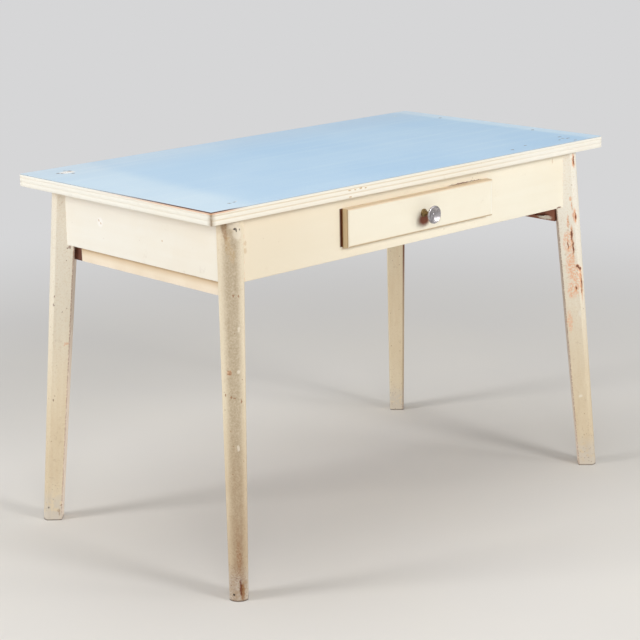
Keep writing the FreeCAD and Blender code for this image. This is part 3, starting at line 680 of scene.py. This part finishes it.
# Marks of one leg: a colour, its strength, how far it is cut in, how patchy it is, and the spots
FRONT_LEFT_MARKS = [
    (STAIN_AND_SHADE, 0.6, 0, 0.3, [
        ((0.002, -0.0110, 0.760), (0.008, 0.0060, 0.014)),
        ((0.001, -0.0080, 0.742), (0.008, 0.0040, 0.014)),
    ]),
    (TAN, 0.4, 0, 0.6, [
        ((0, -0.0030, 0.724), (0.008, 0.0060, 0.018)),
        ((0.001, 0.0050, 0.703), (0.008, 0.0060, 0.016)),
    ]),
    (LEG_PALE, 0.6, 0.1, 0.2, [
        ((0.003, 0.0080, 0.764), (0.008, 0.0120, 0.010)),
        ((0.005, 0.0150, 0.746), (0.008, 0.0090, 0.013)),
        ((0.0027, 0.0117, 0.4715), (0.006, 0.0035, 0.004)),
        ((0.0038, 0.0140, 0.556), (0.006, 0.0025, 0.005)),
        ((0.0011, 0.0069, 0.318), (0.006, 0.0025, 0.006)),
    ]),
    (HOLE, 0.9, 0.6, 0, [
        ((0.0021, 0.0107, 0.7546), (SKIN, 0.0026, 0.0019)),
        ((0.0037, 0.0140, 0.7520), (SKIN, 0.0013, 0.0030)),
        ((0.0076, 0.0199, 0.7514), (SKIN, 0.0010, 0.0020)),
    ]),
    (BARE_WOOD, 0.6, 0.2, 0.6, [((0.0009, -0.0065, 0.4712), (SKIN, 0.0045, 0.0048))]),
    (RUST, 0.8, 0.3, 0.3, [
        ((0.0009, -0.0080, 0.4735), (SKIN, 0.0040, 0.0012)),
        ((0.0009, -0.0050, 0.4705), (SKIN, 0.0038, 0.0010)),
        ((0.0009, -0.0065, 0.4680), (SKIN, 0.0040, 0.0013)),
    ]),
    (SCUFF_PALE, 0.5, 0, 0.6, [((0.0020, -0.0050, 0.0330), (0.012, 0.0130, 0.0220))]),
    (GRIME_AND_SHADE, 0.62, 0, 0.7, [((0.0020, 0, 0.0250), (0.020, 0.0220, 0.0500))]),
    (STAIN_AND_SHADE, 0.95, 0.3, 0.2, [((0.0018, 0.0095, 0.0200), (0.006, 0.0040, 0.0190))]),
    (RUST, 0.6, 0.1, 0.9, [((0.0010, 0.0030, 0.0900), (0.006, 0.0050, 0.0300))]),
    (DEEP_WOOD_AND_SHADE, 0.9, 0.3, 0.2, [((0.0008, 0.0058, 0.0290), (0.005, 0.0026, 0.0170))]),
    (HOLE, 0.95, 0.3, 0, [((0.0019, -0.0086, 0.0147), (SKIN, 0.0030, 0.0028))]),
    (RUST, 0.9, 0.2, 0.3, [
        ((0.0053, -0.0158, 0.4237), (SKIN, 0.0014, 0.0032)),
        ((0.0005, -0.0042, 0.4210), (SKIN, 0.0022, 0.0024)),
        ((0.0003, 0.0026, 0.4190), (SKIN, 0.0018, 0.0020)),
        ((0.0056, 0.0161, 0.4122), (SKIN, 0.0014, 0.0045)),
        ((0.0007, 0.0058, 0.6225), (SKIN, 0.0016, 0.0030)),
        ((0.0045, 0.0154, 0.6224), (SKIN, 0.0014, 0.0026)),
    ]),
    (DEEP_WOOD_AND_SHADE, 0.5, 0.2, 0.3, [
        ((0.0049, -0.0136, 0.0324), (SKIN, 0.0013, 0.0014)),
        ((0.0015, -0.0080, 0.0266), (SKIN, 0.0013, 0.0014)),
        ((0.0002, -0.0023, 0.0489), (SKIN, 0.0015, 0.0020)),
        ((0.0017, 0.0083, 0.0449), (SKIN, 0.0015, 0.0024)),
    ]),
]
FRONT_RIGHT_CRACKS = [
    ((0.0236, -0.0243, 0.574), (0.0017, FLANK_SKIN, 0.014)),
    ((0.0224, -0.0241, 0.545), (0.0013, FLANK_SKIN, 0.015)),
    ((0.0339, -0.0238, 0.5510), (0.0010, FLANK_SKIN, 0.008)),
    ((0.0146, -0.0235, 0.4990), (0.0030, FLANK_SKIN, 0.0024)),
    ((0.0116, -0.0220, 0.4960), (0.0026, FLANK_SKIN, 0.0022)),
    ((0.0090, -0.0200, 0.4925), (0.0022, FLANK_SKIN, 0.0036)),
    ((0.0074, -0.0186, 0.452), (0.0013, FLANK_SKIN, 0.020)),
    ((0.0210, -0.0231, 0.446), (0.0015, FLANK_SKIN, 0.004)),
    ((0.0118, -0.0246, 0.620), (0.0010, FLANK_SKIN, 0.010)),
    ((0.0082, -0.0205, 0.752), (0.0014, FLANK_SKIN, 0.010)),
]
FRONT_RIGHT_MARKS = [
    (PEACH, 0.95, 0.2, 0.85, [
        ((0.041, -0.0215, 0.364), (0.006, FLANK_SKIN, 0.024)),
        ((0.033, -0.024, 0.557), (0.012, FLANK_SKIN, 0.024)),
        ((0.0150, -0.022, 0.470), (0.0065, FLANK_SKIN, 0.026)),
        ((0.030, -0.023, 0.500), (0.011, FLANK_SKIN, 0.040)),
        ((0.024, -0.023, 0.462), (0.011, FLANK_SKIN, 0.036)),
        ((0.034, -0.022, 0.440), (0.007, FLANK_SKIN, 0.020)),
    ]),
    (LEG_PALE, 0.8, 0, 0.3, [
        ((0.0167, -0.0226, 0.3836), (0.003, FLANK_SKIN, 0.007)),
        ((0.0279, -0.0200, 0.1770), (0.005, FLANK_SKIN, 0.004)),
        ((0.0240, -0.0231, 0.4520), (0.003, FLANK_SKIN, 0.005)),
    ]),
    (BARE_WOOD, 0.9, 0.4, 0.5, [
        ((0.0140, -0.0246, 0.621), (0.0045, FLANK_SKIN, 0.016)),
        ((0.0305, -0.0245, 0.606), (0.0022, FLANK_SKIN, 0.016)),
        ((0.0095, -0.0205, 0.464), (0.0026, FLANK_SKIN, 0.026)),
        ((0.0095, -0.0217, 0.748), (0.0032, FLANK_SKIN, 0.013)),
        ((0.0210, -0.0254, 0.661), (0.0030, FLANK_SKIN, 0.005)),
        ((0.0197, -0.0252, 0.645), (0.0014, FLANK_SKIN, 0.010)),
    ]),
    (BARE_WOOD, 0.75, 0.2, 0.2, grown(FRONT_RIGHT_CRACKS)),
    (DEEP_WOOD_AND_SHADE, 0.9, 0.4, 0, FRONT_RIGHT_CRACKS),
]
BACK_LEFT_MARKS = [
    (BARE_WOOD, 0.7, 0.3, 0.5, [
        ((0.0451, 0.0220, 0.4178), (0.0045, FLANK_SKIN, 0.0025)),
        ((0.0400, 0.0220, 0.4160), (0.0020, FLANK_SKIN, 0.0050)),
    ]),
    (DEEP_WOOD_AND_SHADE, 0.7, 0.3, 0.2, [
        ((0.0452, 0.0243, 0.6355), (0.0035, FLANK_SKIN, 0.0030)),
        ((0.0400, 0.0243, 0.6330), (0.0018, FLANK_SKIN, 0.0018)),
        ((0.0145, 0.0242, 0.5256), (0.0016, FLANK_SKIN, 0.0022)),
        ((0.0131, 0.0232, 0.5063), (0.0014, FLANK_SKIN, 0.0030)),
        ((0.0323, 0.0232, 0.4902), (0.0012, FLANK_SKIN, 0.0016)),
        ((0.0182, 0.0216, 0.2861), (0.0014, FLANK_SKIN, 0.0026)),
    ]),
    (SCUFF_PALE, 0.8, 0, 0.2, [((0.0240, 0.0185, 0.0100), (0.030, 0.010, 0.0110))]),
    (GRIME_AND_SHADE, 0.6, 0.1, 0.4, [
        ((0.0362, 0.0181, 0.0235), (0.0040, FLANK_SKIN, 0.0050)),
        ((0.0380, 0.0180, 0.0160), (0.0022, FLANK_SKIN, 0.0050)),
        ((0.0415, 0.0180, 0.0357), (0.0018, FLANK_SKIN, 0.0020)),
    ]),
    (HOLE, 0.85, 0.4, 0, [((0.0135, 0.0190, 0.0303), (0.0022, FLANK_SKIN, 0.0022))]),
]


class LegFinish(Finish):
    """The paint of one leg, in the leg's own axes: X back from the nose, Y across, Z up."""

    def __init__(self, corner):
        super().__init__(f"leg_paint_{corner}", LEG_CREAM)
        self.shine(PAINT_SHINE)
        side_x, side_y = LEG_SIDES[corner]
        diagonal = math.sqrt(0.5)
        lean = (FOOT_REACH - HEAD_REACH) / LEG_HEIGHT
        foot_nose = (APRON_X + APRON_Y) * diagonal + FOOT_REACH
        middle = side_x * side_y * (APRON_Y - APRON_X) * diagonal
        outward_axis = (side_x * diagonal, side_y * diagonal, lean)
        sideways_axis = (-side_y * diagonal, side_x * diagonal, 0)
        self.height = self.axis("Z")
        self.behind = self.less(foot_nose, self.vector("DOT_PRODUCT", self.place, outward_axis))
        self.across = self.less(self.vector("DOT_PRODUCT", self.place, sideways_axis), middle)
        own = self.add("ShaderNodeCombineXYZ")
        for socket, value in zip(own.inputs, (self.behind, self.across, self.height)):
            self.feed(socket, value)
        self.place = own.outputs[0]
        self.cloud = self.noise(9, detail=5, roughness=0.6, stretch=(1, 1, 0.4))
        self.brush = self.noise(120, detail=4, stretch=ALONG_Z)
        self.mottle = self.noise(70, detail=5, roughness=0.65)
        self.fine = self.noise(280, detail=3, roughness=0.6)

    def tapered(self, foot, head):
        """A length that changes evenly from the foot to the head."""
        return self.total(self.times(self.height, (head - foot) / LEG_HEIGHT), foot)

    def coat(self, whitened):
        """Lays on old cream paint, whiter towards the head."""
        self.layer(LEG_AGED, self.ramp(self.cloud, 0.35, 0.75), 0.5)
        self.layer(LEG_AGED, self.ramp(self.brush, 0.35, 0.7), 0.25)
        self.layer(WHITE_CREAM, self.ramp(self.height, HEAD_WHITE_LOW, HEAD_WHITE_FULL), whitened)
        self.layer(LEG_AGED, self.ramp(self.fine, 0.45, 0.7), 0.3)

    def soil_and_shade(self, nose_grime_and_shade, low_grime_and_bounce):
        """Lays dirt mixed with painted shade, and rust, on the rounded nose, and dirt with a painted
        warm floor light that thickens towards the foot.
        """
        # Painted shade down the middle of the nose, mixed with dirt
        off_nose = self.math("ABSOLUTE", self.less(self.across, NOSE_SHIFT))
        outer = self.ramp(self.behind, NOSE_BACK, NOSE_BACK / 2)
        nose = self.times(
            outer,
            self.ramp(off_nose, self.tapered(NOSE_FOOT_REACH, NOSE_HEAD_REACH), NOSE_FLAT),
            self.ramp(self.mottle, 0.2, 0.6, 0.75, 1),
            self.ramp(self.fine, 0.3, 0.65, 0.75, 1),
        )
        self.layer(NOSE_GRIME_AND_SHADE, nose, nose_grime_and_shade)
        # Dirt towards the foot, with the painted warm tint of light bounced from the floor
        low = self.times(
            self.ramp(self.height, GRIME_AND_BOUNCE_TOP, GRIME_AND_BOUNCE_FULL),
            self.ramp(self.cloud, 0.2, 0.65, 0.4, 1),
        )
        self.layer(GRIME_AND_SHADE, low, low_grime_and_bounce)
        rust = self.times(
            outer,
            self.ramp(off_nose, RUST_REACH, 0),
            self.ramp(self.height, RUST_TOP, RUST_FULL),
            self.ramp(self.height, 0, RUST_END),
            self.ramp(self.brush, 0.35, 0.65),
            self.ramp(self.mottle, 0.38, 0.62, 0.3, 1),
        )
        self.layer(RUST, rust, nose_grime_and_shade * RUST_STRENGTH_SHARE)
        self.layer(GRIME_AND_SHADE, self.ramp(self.mottle, 0.58, 0.78), 0.25)

    def scuff(self):
        """Scuffs the foot, and scatters specks that are thickest there."""
        scuffs = self.times(
            self.ramp(self.height, FOOT_SCUFF_TOP, FOOT_SCUFF_FULL),
            self.ramp(self.mottle, 0.36, 0.5),
        )
        self.layer(SCUFF_PALE, scuffs, 0.75)
        self.layer(STAIN_AND_SHADE, self.specks(60, 0.11, 0.5), 0.6)
        foot_specks = self.times(
            self.specks(150, 0.2, 0.7),
            self.ramp(self.height, FOOT_SPECKS_TOP, FOOT_SPECKS_FULL),
        )
        self.layer(DEEP_WOOD_AND_SHADE, foot_specks, 0.5)

    def shade_inside(self, inner_shade, painted_side_shade):
        """Tones the flat inner side, wears its arrises, and paints shade along the edge at one of
        them.
        """
        short_of = self.less(self.tapered(FOOT_DEPTH, HEAD_DEPTH), self.behind)
        self.layer(INNER_SHADE, self.ramp(short_of, ARRIS, INNER_SHADE_FULL), inner_shade)
        half_width = self.tapered(INNER_FOOT_HALF, INNER_HEAD_HALF)
        beyond = self.less(half_width, self.math("ABSOLUTE", self.across))
        arris = self.times(
            self.ramp(short_of, ARRIS, ARRIS_FULL_DEPTH),
            self.ramp(beyond, ARRIS, ARRIS_FULL_WIDTH),
            self.ramp(self.fine, 0.35, 0.55),
        )
        self.layer(ARRIS_WOOD, arris, inner_shade * ARRIS_STRENGTH_SHARE)
        if painted_side_shade:
            # Painted shade along one edge of the inner side
            edge = self.times(
                self.ramp(self.across, -INNER_FOOT_HALF / 2, -INNER_FOOT_HALF),
                self.ramp(beyond, DARK_EDGE_WIDTH, ARRIS),
                self.ramp(short_of, DARK_EDGE_DEPTH, DARK_EDGE_FULL_DEPTH),
                self.ramp(self.height, GRIME_AND_BOUNCE_TOP / 2, GRIME_AND_BOUNCE_TOP, 0.4, 1),
            )
            self.layer(DEEP_WOOD_AND_SHADE, edge, painted_side_shade)

    def mark(self, marks):
        """Draws the leg's own marks, some of them cut in."""
        place = self.ragged(LEG_RAGGED, 130, detail=4)
        for tone, strength, cut, patchy, shapes in marks:
            patches = self.ramp(self.fine, 0.4, 0.6, 1 - patchy, 1)
            mask = self.times(self.spots(place, shapes), patches)
            self.layer(tone, mask, strength)
            if cut:
                self.raise_by(mask, -cut)


def leg(
    corner, marks=(), nose_grime_and_shade=0.0, low_grime_and_bounce=0.22, whitened=0.6, inner_shade=0.85, painted_side_shade=0.0
):
    """Paints one leg: its coat, dirt mixed with painted shade and floor light, scuffs and edges, and
    then its own marks.
    """
    finish = LegFinish(corner)
    finish.coat(whitened)
    finish.soil_and_shade(nose_grime_and_shade, low_grime_and_bounce)
    finish.scuff()
    finish.shade_inside(inner_shade, painted_side_shade)
    rub(finish, LEG_RUB, BARE_WOOD, 0.5)
    finish.mark(marks)
    finish.layer(HOLE, finish.ramp(finish.height, FOOT_LINE, 0), 0.8)
    finish.raise_by(finish.brush, LEG_BRUSH_RELIEF)
    finish.raise_by(finish.mottle, LEG_MOTTLE_RELIEF)
    finish.close(finish.ramp(finish.cloud, 0.3, 0.7, 0.42, 0.58))
    finish.put_on(f"leg_{corner}")


leg("front_left", FRONT_LEFT_MARKS, nose_grime_and_shade=0.85, low_grime_and_bounce=0.6, whitened=0.2)
leg("front_right", FRONT_RIGHT_MARKS, whitened=0.8)
leg("back_left", BACK_LEFT_MARKS)
leg("back_right", low_grime_and_bounce=0.08, whitened=0.0, inner_shade=0.0, painted_side_shade=0.95)


# Raw wood

RAW_ROUGHNESS = 0.75
RING_RELIEF, PORE_RELIEF = 0.2, 0.15


def raw(name, light, dark, grain):
    """Unpainted wood with rings and pores along its grain."""
    finish = Finish(name, light)
    rings = finish.noise(70, detail=6, roughness=0.65, stretch=grain)
    pores = finish.noise(400, detail=2, stretch=grain)
    cloud = finish.noise(6, detail=4)
    finish.layer(dark, finish.ramp(rings, 0.3, 0.7))
    finish.layer(dark, finish.ramp(pores, 0.55, 0.8), 0.5)
    finish.layer(dark, finish.ramp(cloud, 0.45, 0.75), 0.35)
    finish.raise_by(rings, RING_RELIEF)
    finish.raise_by(pores, PORE_RELIEF)
    finish.roughness = RAW_ROUGHNESS
    return finish


# Rails behind the end aprons, painted on the strip that shows below them

RAIL_SKIN = 0.001
RAIL_PAINT_HALF, RAIL_PAINT_SOFT = 0.2315, 0.002
RAIL_SHADOW_DROP, RAIL_LINE_DROP, RAIL_FULL_DROP = 0.025, 0.013, 0.007
POCKET_PLACE, POCKET_RADII = (0.4895, 0.240, 0.6125), (0.006, 0.020, 0.0050)
POCKET_RIM_PLACE, POCKET_RIM_RADII = (0.4895, 0.236, 0.6190), (0.006, 0.020, 0.0022)


def at_each_corner(place, radii):
    """The same spot at the four corners of the frame."""
    x, y, z = place
    return [((side_x * x, side_y * y, z), radii) for side_x, side_y in LEG_SIDES.values()]


def rails():
    """Raw boards with a painted strip below the aprons, painted shade under the aprons and in the
    recesses by the legs, painted light on the right rail's inner face, and pale wood in the screw
    pockets.
    """
    finish = raw("rail_wood", RAW_WOOD, RAW_WOOD_AND_SHADE_DARK, ALONG_Y)
    outer = finish.math("ABSOLUTE", finish.axis("X"))
    on_face = finish.ramp(outer, RAIL_X - RAIL_SKIN, RAIL_X - RAIL_SKIN / 2)
    sideways = finish.math("ABSOLUTE", finish.axis("Y"))
    between = finish.ramp(sideways, RAIL_PAINT_HALF, RAIL_PAINT_HALF - RAIL_PAINT_SOFT)
    painted = finish.times(on_face, between)
    cloud = finish.noise(12, detail=4)
    coat = finish.mix(finish.ramp(cloud, 0.35, 0.7, 0, 0.25), STRIP_CREAM, LEG_AGED)
    # The outer faces darken, as raw wood and as painted shade of the recesses by the legs
    finish.layer(RAW_WOOD_AND_SHADE_DARK, on_face, 0.7)
    # Painted light on the right rail's inner face
    lit_inner_face = finish.times(
        finish.ramp(finish.axis("X", finish.normal), -0.5, -0.9),
        finish.ramp(finish.axis("X"), 0, RAIL_X / 2),
    )
    finish.layer(RAW_WOOD_LIT, lit_inner_face, 0.6)
    finish.layer(coat, painted)
    # Painted shade of the apron on the strip, and a painted shadow line right under it
    drop = finish.less(APRON_BOTTOM, finish.axis("Z"))
    under_apron = finish.ramp(drop, RAIL_SHADOW_DROP, RAIL_FULL_DROP)
    finish.layer(TAN, finish.times(painted, under_apron), 0.65)
    shadow_line = finish.ramp(drop, RAIL_LINE_DROP, RAIL_FULL_DROP)
    finish.layer(GRIME_AND_SHADE, finish.times(painted, shadow_line), 0.35)
    place = finish.ragged(COARSE_RAGGED, 150)
    pockets = at_each_corner(POCKET_PLACE, POCKET_RADII)
    pocket_rims = at_each_corner(POCKET_RIM_PLACE, POCKET_RIM_RADII)
    finish.layer(FRESH_WOOD, finish.spots(place, pockets), 0.9)
    finish.layer(DEEP_WOOD_AND_SHADE, finish.spots(place, pocket_rims), 0.8)
    finish.close(finish.roughness)
    finish.put_on("left_end_rail", "right_end_rail")


rails()


def plain_wood(name, light, dark, grain, pieces):
    """Puts raw wood on some pieces as it is."""
    finish = raw(name, light, dark, grain)
    finish.close(finish.roughness)
    finish.put_on(*pieces)


plain_wood("carriage_wood", RAW_WOOD, RAW_WOOD_AND_SHADE_DARK, ALONG_Y, (
    "drawer_runner_left", "drawer_runner_right", "drawer_kicker_left", "drawer_kicker_right",
))
plain_wood("block_wood", RAW_WOOD, RAW_WOOD_AND_SHADE_DARK, ALONG_Z, [
    f"corner_block_{corner}" for corner in LEG_SIDES
])
plain_wood("core_wood", BOX_WOOD, BOX_WOOD_DARK, ALONG_X, ("top_core",))
plain_wood("drawer_wood", BOX_WOOD, BOX_WOOD_DARK, ALONG_Y, (
    "drawer_side_left", "drawer_side_right", "drawer_bottom",
))
plain_wood("drawer_back_wood", BOX_WOOD, BOX_WOOD_DARK, ALONG_X, ("drawer_back",))


# Metal

HAZE_RELIEF = 0.02


def metal(name, colour, dull, roughness, pieces):
    """Metal with a haze of tarnish and specks of dirt."""
    finish = Finish(name, colour)
    haze = finish.noise(120, detail=5, roughness=0.65)
    finish.layer(dull, finish.ramp(haze, 0.35, 0.7))
    finish.layer(GRIME_AND_SHADE, finish.specks(260, 0.12, 0.4), 0.5)
    finish.raise_by(haze, HAZE_RELIEF)
    finish.set(metallic=1.0)
    finish.close(finish.ramp(haze, 0.3, 0.7, roughness, roughness * 2))
    finish.put_on(*pieces)


metal("knob_chrome", CHROME, CHROME_DULL, 0.2, ("knob_cap",))
metal("knob_brass", STEM_BRASS, STEM_DULL, 0.35, ("knob_stem",))
metal("screw_steel", STEEL, STEEL_DULL, 0.35, (
    "corner_block_screws", "rail_screws", "kicker_screws", "knob_screw",
))
metal("filled_screws", LAMINATE_PALE, STEEL_DULL, 0.4, ("top_screws",))


# Floor, light and camera

FLOOR_HALF = 20
LOOKING_RAYS = ("Is Camera Ray", "Is Glossy Ray", "Is Transmission Ray")
SHADOW_REACH, PLAIN_REACH = 0.9, 3.2
FLOOR_ROUGHNESS = 0.8
SKY_STRENGTH = 0.36
TABLE_MIDDLE = (0, 0, 0.6)
CAMERA_PLACE = (-2.739, -2.891, 1.4765)

# Heading, tilt and roll in degrees, and the axes that they turn about
CAMERA_ANGLES, CAMERA_AXES = (-43.25, 75.06, -1.11), "ZXZ"

# In millimetres, as cameras have it
SENSOR_WIDTH, LENS_LENGTH = 36, 100.6

# Name, place, size across and watts of each lamp
LAMPS = [
    ("front_lamp", (0.55, -4.3, 2.5), 1.3, 78),
    ("right_lamp", (2.8, -4.6, 2.2), 1.4, 35),
    ("left_lamp", (-5.0, 2.2, 2.4), 1.8, 145),
    ("fill_lamp", (-3.2, -3.8, 2.2), 2.5, 55),
    ("top_lamp", (-0.3, 0.3, 4.0), 3.0, 46),
]


def floor():
    """A pale floor that keeps the table's shadow and fades to the background further out."""
    mesh = bpy.data.meshes.new("floor")
    signs = [(-1, -1), (1, -1), (1, 1), (-1, 1)]
    corners = [(FLOOR_HALF * x, FLOOR_HALF * y, 0) for x, y in signs]
    mesh.from_pydata(corners, [], [range(len(corners))])
    plane = bpy.data.objects.new("floor", mesh)
    bpy.context.scene.collection.objects.link(plane)
    finish = Finish("floor", FLOOR)
    speckle = finish.noise(2, detail=3)
    finish.layer(CREAM, finish.ramp(speckle, 0.3, 0.7), 0.1)
    finish.close(FLOOR_ROUGHNESS)
    path = finish.add("ShaderNodeLightPath")
    looked_at = finish.most(*(path.outputs[name] for name in LOOKING_RAYS))
    distance = finish.vector("LENGTH", finish.place, finish.place)
    far = finish.ramp(distance, SHADOW_REACH, PLAIN_REACH)
    plain = finish.add("ShaderNodeEmission")
    finish.feed(plain.inputs["Color"], BACKDROP)
    blend = finish.add("ShaderNodeMixShader")
    finish.feed(blend.inputs[0], finish.times(far, looked_at))
    finish.feed(blend.inputs[1], finish.shader.outputs[0])
    finish.feed(blend.inputs[2], plain.outputs[0])
    finish.feed(finish.tree.nodes["Material Output"].inputs["Surface"], blend.outputs[0])
    mesh.materials.append(finish.material)


def lamp(name, place, size, watts):
    """A round soft lamp, aimed at the middle of the table."""
    data = bpy.data.lights.new(name, "AREA")
    data.shape = "DISK"
    data.size = size
    data.energy = watts
    lamp_object = bpy.data.objects.new(name, data)
    lamp_object.location = place
    direction = Vector(TABLE_MIDDLE) - Vector(place)
    lamp_object.rotation_euler = direction.to_track_quat("-Z", "Y").to_euler()
    bpy.context.scene.collection.objects.link(lamp_object)


def sky(strength):
    """Even light from all round, and a plain pale background behind the table."""
    world = bpy.data.worlds.new("studio")
    world.use_nodes = True
    tree = world.node_tree
    background = tree.nodes["Background"]
    background.inputs["Color"].default_value = BACKDROP
    path = tree.nodes.new("ShaderNodeLightPath")
    looked_at, *others = (path.outputs[name] for name in LOOKING_RAYS)
    for other in others:
        either = tree.nodes.new("ShaderNodeMath")
        either.operation = "MAXIMUM"
        tree.links.new(looked_at, either.inputs[0])
        tree.links.new(other, either.inputs[1])
        looked_at = either.outputs[0]
    choose = tree.nodes.new("ShaderNodeMix")
    choose.inputs[2].default_value = strength
    choose.inputs[3].default_value = 1.0
    tree.links.new(looked_at, choose.inputs[0])
    tree.links.new(choose.outputs[0], background.inputs["Strength"])
    bpy.context.scene.world = world


def camera():
    """The photograph's point of view."""
    data = bpy.data.cameras.new("camera")
    data.sensor_width = SENSOR_WIDTH
    data.lens = LENS_LENGTH
    camera_object = bpy.data.objects.new("camera", data)
    stand = Matrix.Translation(CAMERA_PLACE)
    for angle, axis in zip(CAMERA_ANGLES, CAMERA_AXES):
        stand = stand @ Matrix.Rotation(math.radians(angle), 4, axis)
    camera_object.matrix_world = stand
    bpy.context.scene.collection.objects.link(camera_object)
    bpy.context.scene.camera = camera_object


floor()
sky(SKY_STRENGTH)
for lamp_values in LAMPS:
    lamp(*lamp_values)
camera()
bpy.context.scene.view_settings.view_transform = "Standard"
